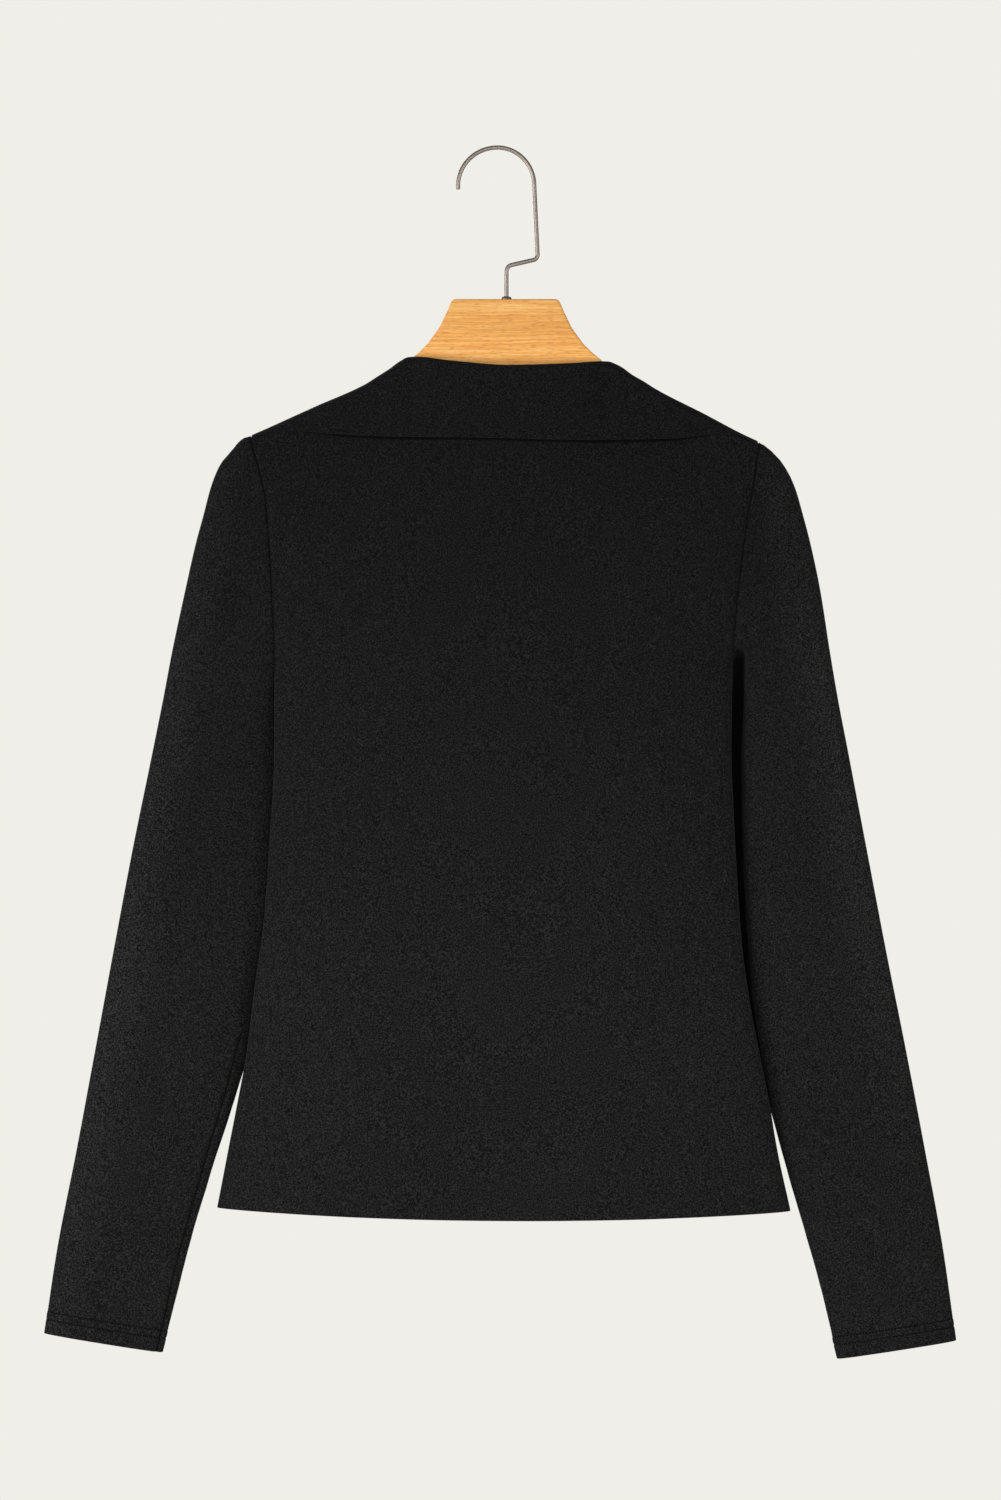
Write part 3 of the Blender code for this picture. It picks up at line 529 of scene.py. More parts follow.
def panel(name, front):
    edge = (0.0, 0.0008, 0.0017, 0.0027, 0.0040, 0.0065)
    f = spread(edge + BODY_COLUMNS[1:-1] + tuple(1 - v for v in reversed(edge)), 0.0066)
    rows = [0.3 * i for i in range(10)] + [3 + 0.25 * i for i in range(4)]
    for k in range(4, 19):
        gap = (13, 20, 27, 27, 27, 26, 19, 23, 40, 50, 55, 55, 50, 53, 55)[k - 4]
        n = math.ceil(gap / 3.0)
        rows += [k + i / n for i in range(n)]
    rows.append(19.0)
    base = np.array([body_row(r, f, front) for r in rows])
    n = facing(grid_normals(base), front)
    n[0, :, 1] = 0.0
    n[:, 0, 0] = np.minimum(n[:, 0, 0], 0.0)
    n[:, -1, 0] = np.maximum(n[:, -1, 0], 0.0)
    n[-1, :, 2] = 0.0
    n = unit(n)
    x, z = base[:, :, 0], base[:, :, 2]
    lift = n.copy()                        # near the sides the relief moves the cloth in depth only
    lift[:, :, 0] *= smooth(np.minimum(x - side_left(z), side_right(z) - x) / 7.0)
    outer = base + lift * body_relief(x, z, front)[:, :, None]
    side = 1.0 if front else -1.0
    outer[:, :, 1] = side * np.maximum(side * outer[:, :, 1], GAP / 2)
    inner = outer - CLOTH * n
    inner[:, :, 1] = side * np.maximum(side * inner[:, :, 1], GAP / 2)
    # painted shade: from_seam darkens the cloth along the armhole seams above the underarm, and gap paints the shadow
    # under the band's free edge, strongest in the middle
    from_seam = np.minimum(x - side_left(z), side_right(z) - x + 0.12) + 14 * smooth((-372.0 - z) / 14.0)
    strong = smooth((x + 166.0) / 66.0) * smooth((180.0 - x) / 60.0)
    gap = (collar_edge(x) - z - 0.35 - 1.5 * strong, strong)
    obj = shell(name, outer, inner, (0.2, 0.45, 0.1), lines=from_seam, gap=gap)
    return obj, outer, layer_area(outer)


def collar(name, front):
    """Half of the turned-down band, its free edge standing off a little."""
    f = spread((0.003, 0.006, 0.010) + BODY_COLUMNS[2:-2] + (0.990, 0.994, 0.997), 0.0050)
    ks = np.concatenate([np.linspace(0, 3, 10)[:-1], np.linspace(3, 7, 26)])
    rows = []
    for k in ks:
        def find(x, k=k):
            top = panel_top(x, front)
            low = np.maximum(top - collar_edge(x), 1.5)
            if k < 3:
                e = roll_height(x, front) * (1 - math.cos(math.radians(30 * k)))
            elif k < 4:
                e = mix(roll_height(x, front), 14.0, k - 3)
            elif k < 5:
                e = mix(14.0, 27.0, k - 4)
            else:
                e = mix(27.0, low, (k - 5) / 2)
            return top - np.minimum(e, low * (k / 7) ** 0.6)
        rows.append(solve(f, front, find))
    base = np.array(rows)
    n = facing(grid_normals(base), front)
    n[0, :, 1] = 0.0
    n = unit(n)
    x, z = base[:, :, 0], base[:, :, 2]
    down = (ks / 7.0)[:, None]
    strong = smooth((x + 160.0) / 60.0) * smooth((168.0 - x) / 54.0)
    share = band_share(x)
    lift = 0.15 + 0.75 * strong * smooth((down - 0.55) / 0.45)
    e = panel_top(x, front) - z
    wave = (0.30 * ripple(x, z, 60.0, 41) + 0.16 * ripple(x, z, 22.0, 42)) * smooth(e / 22.0)
    pucker = sum(crease(x, z, r) for r in (
        (-160, -203, -128, -197, 2, 2.2, 5, -0.6), (-158, -206, -120, -204, -1, 2.0, 4, 0.5),
        (166, -206, 134, -199, -2, 2.2, 5, -0.6), (164, -208, 126, -207, 1, 2.0, 4, 0.4),
        (-84, -166, -52, -190, -3, 4, 9, -0.5), (100, -170, 70, -194, 3, 4, 9, -0.5)))
    full = BAND_GAP + CLOTH + lift + np.clip(wave + pucker, -0.6, 1.2) * smooth(e / 10.0)
    outer = base + n * mix(0.32, full, share)[:, :, None]
    inner = outer - n * mix(0.24, CLOTH, share)[:, :, None]
    obj = shell(name, outer, inner, (0.0, 0.4, 0.05))
    return obj, outer, layer_area(outer)


def sleeve(name, left):
    """Set-in sleeve: open rings sewn to the panels round its head, closed rings below."""
    column = 1 if left else 2
    away = -1.0 if left else 1.0
    border = 0.0 if left else 1.0
    steps, p = 28, 2.3
    closed = np.array(LEFT_RINGS if left else RIGHT_RINGS)
    order = np.arange(len(closed), dtype=float)
    ring_curves = [Curve(np.stack([order, closed[:, c]], 1), 0, 1) for c in range(6)]
    first = body_row(0, np.array([border]), True)[0]
    outer_z = Curve([(1.0, first[2])] + [(r[0], r[column]) for r in CAP_RINGS] + [(10.0, closed[0, 0])], 0, 1)
    silhouette = Curve(SLEEVE_OUTER, 0, column)
    ts = [1 + 0.125 * i for i in range(16)] + [3 + 0.1 * i for i in range(70)]
    joined = len(ts)
    for k in range(len(closed) - 1):
        n = math.ceil(abs(closed[k + 1, 2] - closed[k, 2]) / 3.2)
        if k < len(closed) - 2:
            ts += [10 + k + i / n for i in range(n)]
    last = 10.0 + len(closed) - 2
    ts += [last + i / 9 for i in range(5)] + list(np.linspace(last + 0.54, last + 1, 34))
    quarter = np.radians(90 * np.arange(steps + 1) / steps)
    f = np.concatenate([0.5 * (1 - np.cos(quarter[:-1]) ** (2 / p)), 0.5 + 0.5 * np.sin(quarter) ** (2 / p)])
    rise = np.concatenate([np.sin(quarter[:-1]) ** (2 / p), np.maximum(0.0, np.cos(quarter)) ** (2 / p)])
    second = np.concatenate([np.zeros(steps, bool), np.ones(steps + 1, bool)])
    dome = np.radians(90 * np.arange(2 * steps + 1) / (2 * steps))
    rows = []
    for t in ts:
        if t < 10:
            ix, seam, iz = body_row(t, np.array([border]), True)[0]
            ix += away * (SEAM - 0.35 * float(smooth((t - 9.6) / 0.4)))
            oz = float(outer_z(t))
            ox = float(silhouette(oz))
            if t < 2:
                ox = mix(first[0] + away * (SEAM + 0.4), ox, smooth(t - 1))
            iy, oy, half = 0.0, 0.0, mix(seam, 10.0, smooth((t - 3) / 5))
            flat = float(smooth((t - 2) / 5))
        else:
            oz, ix, iz, iy, oy, half = (float(c(t - 10)) for c in ring_curves)
            ix -= away * (0.35 + 1.1 * float(smooth((t - 10.0) / 0.6)) * float(smooth((14.0 - t) / 2.0)))
            ox, seam, flat = float(silhouette(oz)), 0.0, 1.0
        h = np.where(second, seam + (half - seam) * rise, half * rise)
        ff = mix(1 - np.cos(dome), f, flat)
        h = mix(seam * np.sin(dome), h, flat)
        line = np.array((ox, oy, oz)) + (np.array((ix, iy, iz)) - np.array((ox, oy, oz))) * ff[:, None]
        back = line.copy()
        back[:, 1] -= h
        ahead = line.copy()
        ahead[:, 1] += h
        if not left and t > 9.5:
            d = tuck_x(back[:, 2]) - back[:, 0]
            reach = np.minimum(tuck_depth(back[:, 2]), np.maximum(0.0, 2 * h - 3.2))
            reach = np.maximum(0.0, reach) * smooth((t - 9.6) / 0.4)
            back[:, 1] += reach * smooth((d + 1.0) / 3.0)
        rows.append(np.vstack([back[::-1], ahead[1:]]))
    base = np.array(rows)
    n = grid_normals(base)
    weld_normals(n, base, joined)
    centre = base.mean(axis=1, keepdims=True)
    if np.sum(n * (base - centre)) < 0:
        n = -n
    n[0, :, 0] = 0.0
    for c in (0, -1):
        n[:joined, c, 0] = -away * np.maximum(-away * n[:joined, c, 0], 0.0)
    n = unit(n)
    x, z = base[:, :, 0], base[:, :, 2]
    cols = base.shape[1]
    middle = cols // 2
    on_back = np.zeros((len(ts), cols), bool)
    on_back[:, :middle] = True
    across, along = flat_lengths(base)
    girth = np.linalg.norm(np.diff(base, axis=1), axis=2).sum(axis=1)[:, None]
    from_seam = np.minimum(across + girth / 2, girth / 2 - across)
    ease = smooth(np.arange(len(ts)) / 24.0)[:, None]
    rows_here = LEFT_CREASES if left else RIGHT_CREASES
    seed = 61 if left else 71
    total = np.where(on_back, unevenness(x, z, rows_here, seed), unevenness(x, z, rows_here, seed + 5))
    # both faces meet at the outer fold, where the cloth turns and keeps its outline
    from_fold = np.abs(np.arange(cols) - middle)[None, :] / middle
    total = total * smooth(from_fold / 0.28) * ease
    t_all = np.array(ts)[:, None]
    head = smooth((10.2 - t_all) / 0.8)
    pull = 1 + 0.4 * np.sin(z / 1.9 + seed) * np.sin(z / 6.9)
    total = total * mix(1.0, smooth((from_seam - 0.5) / 9.0), head)
    total = total - head * pull * (0.75 * line_groove(from_seam, 0.6) + 0.35 * line_groove(from_seam, 2.0))
    # gathers of the sleeve's head, fading from the seam
    fade = np.exp(-from_seam / 9.0) * smooth((t_all - 1.6) / 1.5) * smooth((8.6 - t_all) / 3.0)
    total = total + fade * 0.42 * np.sin(z / 1.35 + 3 * np.sin(z / 9.0)) * smooth(from_seam / 2.5)
    # painted shade: lines darkens the cloth along the armhole seam and, on the left sleeve, along its seam turned to
    # the back
    lines = from_seam + 20 * (1 - head)
    if left:
        shown = smooth((-636.0 - z) / 22.0) * on_back
        d = x - left_seam(z)
        total = total - shown * (0.75 + 0.2 * np.sin(z / 2.3)) * line_groove(d, 1.0)
        total = total + shown * 0.30 * line_groove(d + 2.4, 1.3)
        lines = np.where(shown * on_back > 0.02, d + np.sign(d) * 1.2 * (1 - shown), lines)
    else:
        shown = smooth((-400.0 - z) / 30.0) * (~on_back)
        total = total - shown * 0.7 * line_groove(from_seam - 7.0, 0.9)
    # painted shadow: on the right sleeve, gap darkens the strip where the cloth runs in behind the body, as the
    # body's shadow there
    gap = None
    if not left:
        sunk = smooth((tuck_depth(z) - 0.5) / 2.0) * on_back * smooth((-369.4 - z) / 1.6)
        gap = (np.where(on_back, 0.9 - (tuck_x(z) - x), 50.0), sunk)
    # stitch sets the dashes of painted shade round each stitch of the cuff
    stitch = (across - across[:, :1]) / girth * int(girth[-1, 0] / STITCH)
    # the cuff, turned up and stitched
    total = total + 0.30 * smooth((17.8 - along) / 1.6)
    for d in CUFF_ROWS:
        total = total - 0.45 * line_groove(along - d, 0.7)
    lift = n.copy()
    lift[:, :, 0] *= mix(1.0, smooth(from_seam / 7.0), head)
    outer = base + lift * total[:, :, None]
    inner = outer - CLOTH * n
    inner[:joined, :middle, 1] = np.minimum(inner[:joined, :middle, 1], -GAP / 2)
    inner[:joined, middle + 1:, 1] = np.maximum(inner[:joined, middle + 1:, 1], GAP / 2)
    obj = shell(name, outer, inner, (0.1, 0.45, 0.1), welded=joined, lines=lines, gap=gap, stitch=stitch)
    return obj, outer, n, layer_area(outer)


def stitches(name, outer, n):
    """Two rows of small straight stitches round a cuff."""
    _, along = flat_lengths(outer)
    cols = outer.shape[1]
    verts, faces = [], []
    for line in CUFF_ROWS:
        path = np.array([[np.interp(line, along[::-1, j], outer[::-1, j, c]) for c in range(3)] for j in range(cols)])
        norm = np.array([[np.interp(line, along[::-1, j], n[::-1, j, c]) for c in range(3)] for j in range(cols)])
        run = np.concatenate([[0], np.cumsum(np.linalg.norm(np.diff(path, axis=0), axis=1))])
        count = int(np.linalg.norm(np.diff(outer[-1], axis=0), axis=1).sum() / STITCH)
        step = run[-1] / count
        for s in range(count):
            stations = []
            for q, r, sink in ((0.04, 0.06, -0.35), (0.12, 0.27, -0.10), (0.36, 0.34, 0.02),
                               (0.60, 0.27, -0.10), (0.68, 0.06, -0.35)):
                at = (s + q) * step
                c = np.array([np.interp(at, run, path[:, k]) for k in range(3)])
                m = unit(np.array([np.interp(at, run, norm[:, k]) for k in range(3)]))
                stations.append((c + m * sink, m, r))
            ahead = unit(stations[-1][0] - stations[0][0])
            start = len(verts)
            for c, m, r in stations:
                b = unit(np.cross(ahead, m))
                for i in range(6):
                    a = 2 * math.pi * i / 6
                    verts.append((c + (m * math.cos(a) + b * math.sin(a)) * r) * MM)
            for k in range(len(stations) - 1):
                for i in range(6):
                    p, q = start + 6 * k + i, start + 6 * k + (i + 1) % 6
                    faces.append((p, q, q + 6, p + 6))
            faces.append(tuple(start + i for i in reversed(range(6))))
            end = start + 6 * (len(stations) - 1)
            faces.append(tuple(end + i for i in range(6)))
    mesh = bpy.data.meshes.new(name)
    mesh.from_pydata([tuple(v) for v in verts], [], faces)
    mesh.update()
    mesh.shade_smooth()
    obj = bpy.data.objects.new(name, mesh)
    bpy.context.scene.collection.objects.link(obj)
    return obj


# ------------------------------------------------------------------ hook and ferrule
def filleted(corners, radii, steps):
    out = [np.array(corners[0])]
    for i in range(1, len(corners) - 1):
        a, b, c = (np.array(corners[k], dtype=float) for k in (i - 1, i, i + 1))
        u, v = (a - b) / np.linalg.norm(a - b), (c - b) / np.linalg.norm(c - b)
        half = math.acos(float(np.clip(u @ v, -1, 1))) / 2
        cut = radii[i - 1] / math.tan(half)
        centre = b + (u + v) / np.linalg.norm(u + v) * radii[i - 1] / math.sin(half)
        p, q = b + u * cut - centre, b + v * cut - centre
        total = math.acos(float(np.clip(p @ q / radii[i - 1] ** 2, -1, 1)))
        for s in range(steps + 1):
            t = s / steps
            out.append(centre + (math.sin((1 - t) * total) * p + math.sin(t * total) * q) / math.sin(total))
    out.append(np.array(corners[-1]))
    return out


def hook():
    """The bent wire, round, with a ground-off tip."""
    top = WIRE / 2
    centre = (0.0, top - HOOK_RADIUS)
    start = math.radians(4)
    first = (centre[0] + HOOK_RIGHT * math.cos(start), centre[1] + HOOK_RADIUS * math.sin(start))
    path = filleted([(STEM_X, WOOD_TOP - 18), (STEM_X, -85.2), (29.4, -80.0), first], [5.0, 4.0], 12)[:-1]
    radius = WIRE_SEEN / 2
    for i in range(73):
        a = start + (math.radians(186) - start) * i / 72
        wide = HOOK_RIGHT if math.cos(a) > 0 else HOOK_LEFT
        path.append(np.array((centre[0] + wide * math.cos(a), centre[1] + HOOK_RADIUS * math.sin(a))))
    path = np.array([(x, 0.0, z) for x, z in path])
    keep = [0]
    for i in range(1, len(path)):
        if np.linalg.norm(path[i] - path[keep[-1]]) > 0.2:
            keep.append(i)
    path = path[keep]
    tangent = unit(np.gradient(path, axis=0))
    sides = 20
    verts, faces = [], []
    stations = [(p, t, radius) for p, t in zip(path[:-1], tangent[:-1])]
    end, along = path[-1], tangent[-1]
    for q in range(6):
        a = math.radians(18 * q)
        stations.append((end - along * 0.9 * (1 - math.sin(a)), along, radius * (math.cos(a) * 0.92 + 0.08)))
    for p, t, r in stations:
        m = np.array((0.0, 1.0, 0.0))
        b = unit(np.cross(t, m))
        for i in range(sides):
            a = 2 * math.pi * i / sides
            verts.append((p + (m * math.cos(a) + b * math.sin(a)) * r) * MM)
    for k in range(len(stations) - 1):
        for i in range(sides):
            p, q = sides * k + i, sides * k + (i + 1) % sides
            faces.append((p, q, q + sides, p + sides))
    faces.append(tuple(reversed(range(sides))))
    faces.append(tuple(range(sides * (len(stations) - 1), sides * len(stations))))
    return solid("hook_wire", verts, faces)


def solid(name, verts, faces):
    mesh = bpy.data.meshes.new(name)
    mesh.from_pydata([tuple(v) for v in verts], [], faces)
    mesh.update()
    mesh.shade_smooth()
    mesh.set_sharp_from_angle(angle=math.radians(45))
    obj = bpy.data.objects.new(name, mesh)
    bpy.context.scene.collection.objects.link(obj)
    co = np.zeros(3 * len(mesh.polygons))
    no = np.zeros(3 * len(mesh.polygons))
    ar = np.zeros(len(mesh.polygons))
    mesh.polygons.foreach_get("center", co)
    mesh.polygons.foreach_get("normal", no)
    mesh.polygons.foreach_get("area", ar)
    co = co.reshape(-1, 3) - co.reshape(-1, 3).mean(axis=0)
    if np.sum(ar * np.sum(no.reshape(-1, 3) * co, axis=1)) < 0:
        mesh.flip_normals()
    return obj


def ferrule():
    bore = WIRE_SEEN / 2 + 0.1
    profile = [(bore, GAP), (FERRULE_RADIUS, GAP), (FERRULE_RADIUS, GAP + 0.5)]
    for i in range(1, 9):
        a = math.radians(90 * i / 8)
        profile.append((bore + (FERRULE_RADIUS - bore) * math.cos(a) * 0.97 + 0.05,
                        GAP + 0.5 + (FERRULE_HEIGHT - 0.5) * math.sin(a)))
    profile.append((bore, GAP + FERRULE_HEIGHT - 0.1))
    segments = 48
    verts, faces = [], []
    for s in range(segments):
        a = 2 * math.pi * s / segments
        verts += [((STEM_X + r * math.cos(a)) * MM, r * math.sin(a) * MM, (WOOD_TOP + h) * MM) for r, h in profile]
    m = len(profile)
    for s in range(segments):
        a, b = s * m, ((s + 1) % segments) * m
        for i in range(m):
            k = (i + 1) % m
            faces.append((a + i, b + i, b + k, a + k))
    return solid("ferrule_dome", verts, faces)


# ------------------------------------------------------------------ materials
class Nodes:
    """Short hand for building a node material."""

    def __init__(self, name):
        self.mat = bpy.data.materials.new(name)
        self.mat.use_nodes = True
        self.tree = self.mat.node_tree
        self.shader = self.tree.nodes["Principled BSDF"]

    def add(self, kind, inputs=None, **settings):
        node = self.tree.nodes.new(kind)
        for k, v in settings.items():
            setattr(node, k, v)
        for k, v in (inputs or {}).items():
            self.put(v, node.inputs[k])
        return node

    def put(self, value, socket):
        if isinstance(value, bpy.types.NodeSocket):
            self.tree.links.new(value, socket)
        else:
            socket.default_value = value

    def math(self, op, a, b=None, clamp=False):
        node = self.tree.nodes.new("ShaderNodeMath")
        node.operation = op
        node.use_clamp = clamp
        self.put(a, node.inputs[0])
        if b is not None:
            self.put(b, node.inputs[1])
        return node.outputs[0]

    def noise(self, vector, scale, detail=2.0, roughness=0.5, distortion=0.0):
        return self.add("ShaderNodeTexNoise", {
            "Vector": vector, "Scale": scale, "Detail": detail, "Roughness": roughness,
            "Distortion": distortion}).outputs["Fac"]

    def stretch(self, vector, scale):
        return self.add("ShaderNodeMapping", {"Vector": vector, "Scale": scale}).outputs[0]

    def ramp(self, value, stops):
        node = self.add("ShaderNodeValToRGB", {"Fac": value})
        ramp = node.color_ramp
        while len(ramp.elements) < len(stops):
            ramp.elements.new(0.5)
        for e, (at, c) in zip(ramp.elements, stops):
            e.position = at
            e.color = (*c, 1.0) if isinstance(c, tuple) else (c, c, c, 1.0)
        return node.outputs["Color"]

    def blend(self, kind, fac, a, b):
        node = self.add("ShaderNodeMix", data_type="RGBA", blend_type=kind)
        self.put(fac, node.inputs["Factor"])
        self.put(a, node.inputs[6])
        self.put(b, node.inputs[7])
        return node.outputs[2]


def jersey():
    """Fine black single jersey: wales along the cloth, a heathered grain, a soft low sheen."""
    m = Nodes("jersey_knit")
    cloth = m.add("ShaderNodeAttribute", attribute_name="cloth").outputs["Vector"]
    place = m.add("ShaderNodeTexCoord").outputs["Object"]
    split = m.add("ShaderNodeSeparateXYZ", {"Vector": cloth})
    u, v = split.outputs["X"], split.outputs["Y"]
    # knit: ribs 0.8 mm apart, each a column of slanting loops 0.62 mm high
    wale = m.math("SINE", m.math("MULTIPLY", u, 2 * math.pi / 0.0008))
    lean = m.math("MULTIPLY", m.math("ABSOLUTE", m.math("SINE", m.math("MULTIPLY", u, math.pi / 0.0008))), 1.5)
    loop = m.math("SINE", m.math("ADD", m.math("MULTIPLY", v, 2 * math.pi / 0.00062), lean))
    knit = m.math("ADD", m.math("MULTIPLY", wale, 0.6), m.math("MULTIPLY", loop, 0.4))
    # grain: uneven yarn, mottled at about a millimetre
    grain = m.noise(place, 980.0, 2.0, 0.55)
    mottle = m.noise(place, 260.0, 2.0, 0.5)
    broad = m.noise(place, 9.0, 2.0, 0.5)
    tone = m.math("ADD", m.math("MULTIPLY", grain, 0.80), m.math("MULTIPLY", mottle, 0.06))
    tone = m.math("ADD", tone, m.math("MULTIPLY", broad, 0.03))
    colour = m.ramp(tone, ((0.343, (0.0013, 0.0013, 0.0014)), (0.445, (0.0072, 0.0072, 0.0073)),
                           (0.547, (0.0220, 0.0219, 0.0220))))
    shade = m.ramp(m.math("ADD", m.math("MULTIPLY", knit, 0.5), 0.5), ((0.0, 0.80), (1.0, 1.12)))
    colour = m.blend("MULTIPLY", 1.0, colour, shade)
    # painted shade and light: darker towards the top, a little lighter towards the hem and cuffs, as the light falls
    # from low down
    low = m.add("ShaderNodeMapRange", {"Value": m.add("ShaderNodeSeparateXYZ", {"Vector": place}).outputs["Z"],
                                       "From Min": -0.22, "From Max": -0.62, "To Min": 0.51, "To Max": 0.93})
    # painted light: lighter down the outside of the sleeves, where they turn towards the light, less towards the
    # cuffs
    spot = m.add("ShaderNodeSeparateXYZ", {"Vector": place})
    side = m.math("ABSOLUTE", spot.outputs["X"])
    line = m.math("ADD", m.math("MULTIPLY", spot.outputs["Z"], -0.183), 0.171)
    outer = m.add("ShaderNodeMapRange", {"Value": m.math("SUBTRACT", side, line), "From Min": -0.034, "From Max": -0.004,
                                         "To Min": 0.0, "To Max": 0.36}).outputs[0]
    high = m.add("ShaderNodeMapRange", {"Value": spot.outputs["Z"], "From Min": -0.80, "From Max": -0.50}).outputs[0]
    share = m.math("ADD", high, m.math("MAXIMUM", high, m.math("LESS_THAN", spot.outputs["X"], 0.0)))
    outer = m.math("MULTIPLY", outer, share)
    outer = m.math("ADD", outer, 1.0)
    # painted shade: darker down in the seams, in the shadow between layers (under the band's free edge and where the
    # right sleeve runs in behind the body) and round each stitch
    near = m.add("ShaderNodeMapRange", {"Value": m.math("ABSOLUTE", split.outputs["Z"]), "From Min": 0.0004,
                                        "From Max": 0.0010, "To Min": 0.21, "To Max": 1.0}).outputs[0]
    edge = m.add("ShaderNodeSeparateXYZ", {
        "Vector": m.add("ShaderNodeAttribute", attribute_name="edge").outputs["Vector"]})
    under = m.add("ShaderNodeMapRange", {"Value": edge.outputs["X"], "From Min": 0.0, "From Max": 0.45,
                                         "To Min": 1.0, "To Max": 0.0}).outputs[0]
    under = m.math("SUBTRACT", 1.0, m.math("MULTIPLY", m.math("MULTIPLY", under, edge.outputs["Y"]), 0.97))
    beat = m.math("COSINE", m.math("MULTIPLY", m.math("SUBTRACT", edge.outputs["Z"], 0.36), 2 * math.pi))
    dash = m.add("ShaderNodeMapRange", {"Value": beat, "From Min": -0.35, "From Max": 0.25}).outputs[0]
    rows = None
    for at in CUFF_ROWS:
        off = m.math("ABSOLUTE", m.math("SUBTRACT", v, at * MM))
        band = m.add("ShaderNodeMapRange", {"Value": off, "From Min": 0.0004, "From Max": 0.0009,
                                            "To Min": 1.0, "To Max": 0.0}).outputs[0]
        rows = band if rows is None else m.math("MAXIMUM", rows, band)
    used = m.math("GREATER_THAN", edge.outputs["Z"], 0.001)
    sewn = m.math("MULTIPLY", m.math("MULTIPLY", rows, dash), m.math("MULTIPLY", used, 0.80))
    dark = m.math("MULTIPLY", m.math("MULTIPLY", near, under), m.math("SUBTRACT", 1.0, sewn))
    dark = m.math("MULTIPLY", m.math("MULTIPLY", dark, low.outputs[0]), outer)
    dark = m.add("ShaderNodeCombineXYZ", {"X": dark, "Y": dark, "Z": dark}).outputs[0]
    m.put(m.blend("MULTIPLY", 1.0, colour, dark), m.shader.inputs["Base Color"])
    m.shader.inputs["Roughness"].default_value = 0.88
    m.shader.inputs["Specular IOR Level"].default_value = 0.10
    m.shader.inputs["Sheen Weight"].default_value = 0.058
    m.shader.inputs["Sheen Roughness"].default_value = 0.45
    m.shader.inputs["Sheen Tint"].default_value = (0.74, 0.76, 0.82, 1.0)
    height = m.math("ADD", m.math("MULTIPLY", knit, 0.5), m.math("MULTIPLY", grain, 1.3))
    bump = m.add("ShaderNodeBump", {"Height": height, "Strength": 0.55, "Distance": 0.00012})
    fuzz = m.add("ShaderNodeBump", {"Height": mottle, "Strength": 0.22, "Distance": 0.0004,
                                    "Normal": bump.outputs["Normal"]})
    m.put(fuzz.outputs["Normal"], m.shader.inputs["Normal"])
    return m.mat


def thread():
    m = Nodes("sewing_thread")
    place = m.add("ShaderNodeTexCoord").outputs["Object"]
    twist = m.noise(place, 2400.0, 2.0, 0.6)
    m.put(m.ramp(twist, ((0.3, (0.0015, 0.0015, 0.0017)), (0.7, (0.0045, 0.0045, 0.0048)))),
          m.shader.inputs["Base Color"])
    m.shader.inputs["Roughness"].default_value = 0.8
    m.shader.inputs["Specular IOR Level"].default_value = 0.05
    bump = m.add("ShaderNodeBump", {"Height": twist, "Strength": 0.5, "Distance": 0.00006})
    m.put(bump.outputs["Normal"], m.shader.inputs["Normal"])
    return m.mat


def beech():
    """Light beech: fine wavy streaks along the board and short dark flecks."""
    m = Nodes("beech_wood")
    place = m.add("ShaderNodeTexCoord").outputs["Object"]
    bend = m.noise(m.stretch(place, (7.0, 4.0, 22.0)), 1.0, 2.0, 0.5)
    warp = m.add("ShaderNodeCombineXYZ", {"Z": m.math("MULTIPLY", m.math("SUBTRACT", bend, 0.5), 0.010)})
    wavy = m.add("ShaderNodeVectorMath", {0: place, 1: warp.outputs[0]}, operation="ADD").outputs[0]
    streaks = m.noise(m.stretch(wavy, (22.0, 520.0, 820.0)), 1.0, 4.0, 0.65)
    bands = m.noise(m.stretch(wavy, (3.0, 60.0, 75.0)), 1.0, 2.0, 0.5)
    flecks = m.noise(m.stretch(wavy, (170.0, 560.0, 1500.0)), 1.0, 1.0, 0.4)
    pores = m.noise(m.stretch(wavy, (60.0, 900.0, 2600.0)), 1.0, 2.0, 0.5)
    tone = m.math("ADD", m.math("MULTIPLY", streaks, 0.78), m.math("MULTIPLY", bands, 0.22))
    colour = m.ramp(tone, ((0.37, (0.78, 0.335, 0.074)), (0.50, (0.90, 0.434, 0.110)),
                           (0.62, (0.98, 0.565, 0.194))))
    fleck = m.ramp(flecks, ((0.57, 0.0), (0.68, 0.55)))
    colour = m.blend("MIX", fleck, colour, (0.56, 0.235, 0.055, 1.0))
    pore = m.ramp(pores, ((0.62, 0.0), (0.74, 0.40)))
    colour = m.blend("MIX", pore, colour, (0.46, 0.19, 0.05, 1.0))
    # painted light: the board is lighter towards its lower edge, against the shade the cloth in front casts there,
    # and darker higher up
    down = m.add("ShaderNodeSeparateXYZ", {"Vector": place}).outputs["Z"]
    pale = m.add("ShaderNodeMapRange", {"Value": down, "From Min": -0.130, "From Max": -0.153,
                                        "To Min": 0.875, "To Max": 1.05}).outputs[0]
    pale = m.add("ShaderNodeCombineXYZ", {"X": pale, "Y": pale, "Z": pale}).outputs[0]
    m.put(m.blend("MULTIPLY", 1.0, colour, pale), m.shader.inputs["Base Color"])
    rough = m.add("ShaderNodeMapRange", {"Value": streaks, "To Min": 0.42, "To Max": 0.58})
    m.put(rough.outputs[0], m.shader.inputs["Roughness"])
    m.shader.inputs["Specular IOR Level"].default_value = 0.20
    m.shader.inputs["Coat Weight"].default_value = 0.05
    m.shader.inputs["Coat Roughness"].default_value = 0.30
    height = m.math("SUBTRACT", m.math("MULTIPLY", streaks, 0.6), m.math("MULTIPLY", pore, 0.8))
    bump = m.add("ShaderNodeBump", {"Height": height, "Strength": 0.25, "Distance": 0.00018})
    m.put(bump.outputs["Normal"], m.shader.inputs["Normal"])
    return m.mat


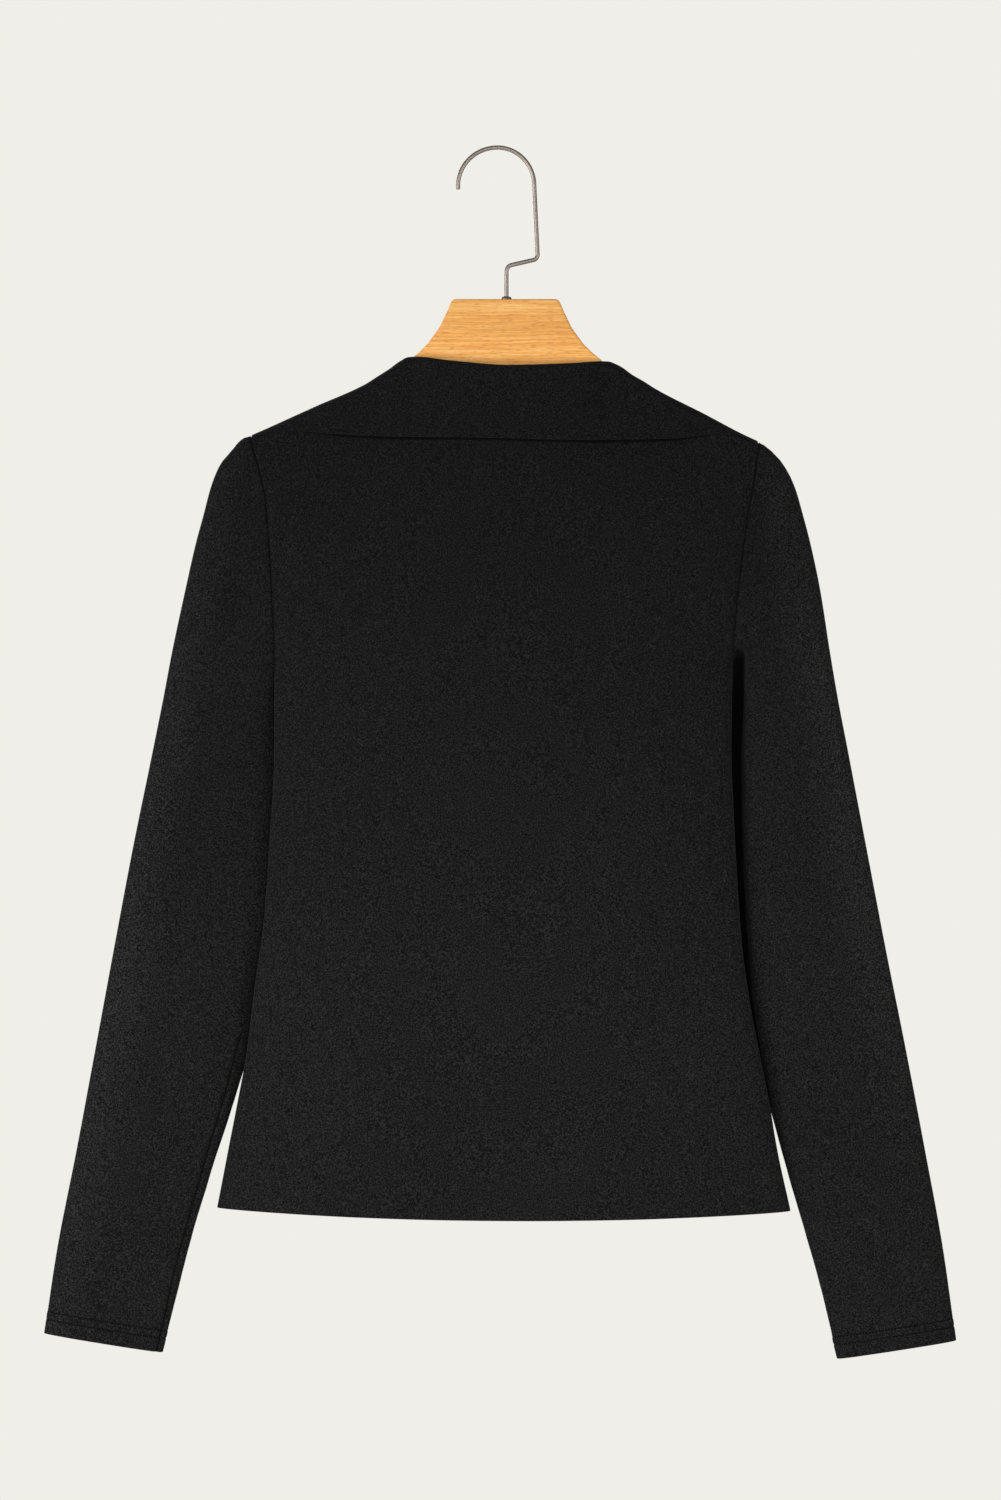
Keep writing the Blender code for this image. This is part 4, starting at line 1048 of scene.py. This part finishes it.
def steel(name, colour, roughness):
    """Drawn wire: fine scratches along it and dull patches from handling."""
    m = Nodes(name)
    place = m.add("ShaderNodeTexCoord").outputs["Object"]
    patches = m.noise(place, 60.0, 2.0, 0.5)
    scratches = m.noise(place, 1500.0, 2.0, 0.5)
    low = tuple(c * 0.86 for c in colour)
    m.put(m.ramp(patches, ((0.38, low), (0.62, colour))), m.shader.inputs["Base Color"])
    m.shader.inputs["Metallic"].default_value = 1.0
    mixed = m.math("ADD", m.math("MULTIPLY", patches, 0.9), m.math("MULTIPLY", scratches, 0.1))
    rough = m.add("ShaderNodeMapRange", {"Value": mixed, "From Min": 0.3, "From Max": 0.7,
                                         "To Min": roughness - 0.02, "To Max": roughness + 0.03})
    m.put(rough.outputs[0], m.shader.inputs["Roughness"])
    return m.mat


def dress(obj, mat):
    obj.data.materials.clear()
    obj.data.materials.append(mat)
    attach(obj, "root")


# ------------------------------------------------------------------ the object
knit = jersey()
sewn = thread()
metal = steel("hook_steel", (0.34, 0.293, 0.258), 0.40)
dark_metal = steel("ferrule_steel", (0.22, 0.19, 0.17), 0.40)

areas = {}
for node, front in (("back", False), ("front", True)):
    obj, _, area = panel(node + "_panel", front)
    dress(obj, knit)
    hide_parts(node)
    areas[node] = area
for node, front in (("collar_back", False), ("collar_front", True)):
    obj, _, area = collar(node + "_band", front)
    dress(obj, knit)
    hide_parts(node)
    areas[node] = area
for node, left in (("sleeve_left", True), ("sleeve_right", False)):
    obj, outer, n, area = sleeve(node + "_cloth", left)
    dress(obj, knit)
    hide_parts(node)
    areas[node] = area
    sewing = stitches(node + "_cuff_stitches", outer, n)
    dress(sewing, sewn)
print("areas of one layer, m2:", {k: round(v, 4) for k, v in areas.items()})

wire = hook()
dress(wire, metal)
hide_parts("hanger_hook")
dome = ferrule()
dress(dome, dark_metal)
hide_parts("hanger_ferrule")
board = bpy.data.objects["hanger_bar"]
for s in range(len(board.material_slots)):
    board.material_slots[s].material = beech()

# ------------------------------------------------------------------ floor, light and camera
scene = bpy.context.scene
scene.view_settings.view_transform = "Standard"

world = bpy.data.worlds.new("studio")
scene.world = world
world.use_nodes = True
tree = world.node_tree
background = tree.nodes["Background"]
background.inputs["Color"].default_value = (1.0, 0.99, 0.975, 1.0)
background.inputs["Strength"].default_value = 0.25
seen = tree.nodes.new("ShaderNodeBackground")
seen.inputs["Color"].default_value = (0.871, 0.855, 0.807, 1.0)
path = tree.nodes.new("ShaderNodeLightPath")
choose = tree.nodes.new("ShaderNodeMixShader")
tree.links.new(path.outputs["Is Camera Ray"], choose.inputs[0])
tree.links.new(background.outputs[0], choose.inputs[1])
tree.links.new(seen.outputs[0], choose.inputs[2])
tree.links.new(choose.outputs[0], tree.nodes["World Output"].inputs["Surface"])

floor_mesh = bpy.data.meshes.new("floor")
floor_mesh.from_pydata([(-1.6, -1.4, -1.26), (1.6, -1.4, -1.26), (1.6, 1.0, -1.26), (-1.6, 1.0, -1.26)], [], [(0, 1, 2, 3)])
floor = bpy.data.objects.new("floor", floor_mesh)
scene.collection.objects.link(floor)
pale = bpy.data.materials.new("floor_pale")
pale.use_nodes = True
pale.node_tree.nodes["Principled BSDF"].inputs["Base Color"].default_value = (0.80, 0.79, 0.77, 1)
pale.node_tree.nodes["Principled BSDF"].inputs["Roughness"].default_value = 0.9
floor_mesh.materials.append(pale)


def area_light(name, place, target, size, power, colour=(1.0, 1.0, 1.0)):
    data = bpy.data.lights.new(name, "AREA")
    data.shape = "RECTANGLE"
    data.size, data.size_y = size
    data.energy = power
    data.color = colour
    light = bpy.data.objects.new(name, data)
    light.location = place
    light.rotation_mode = "QUATERNION"
    light.rotation_quaternion = (Vector(target) - Vector(place)).to_track_quat("-Z", "Y")
    scene.collection.objects.link(light)
    return light


area_light("key", (-2.1, -1.5, -0.45), (0.0, 0.0, -0.55), (1.3, 1.6), 46.0, (1.0, 0.99, 0.975))
area_light("fill", (2.2, -1.7, -0.60), (0.0, 0.0, -0.55), (1.2, 1.6), 24.5)
area_light("front", (0.1, -2.5, 0.45), (0.0, 0.0, -0.25), (1.0, 0.6), 9.0)
area_light("low", (-0.2, -1.7, -0.95), (0.0, 0.0, -0.70), (1.6, 0.5), 6.0)
area_light("back", (-0.7, 2.0, 0.10), (0.0, 0.0, -0.50), (1.6, 1.4), 30.0)

camera_data = bpy.data.cameras.new("camera")
camera = bpy.data.objects.new("camera", camera_data)
scene.collection.objects.link(camera)
scene.camera = camera
camera.location = (0.0022, -3.0, -0.4384)
camera.rotation_euler = (math.radians(90), 0, 0)
camera_data.sensor_width = 36.0
camera_data.lens = 36.0 * 3.0 / 1.095
camera_data.clip_start, camera_data.clip_end = 0.05, 50.0
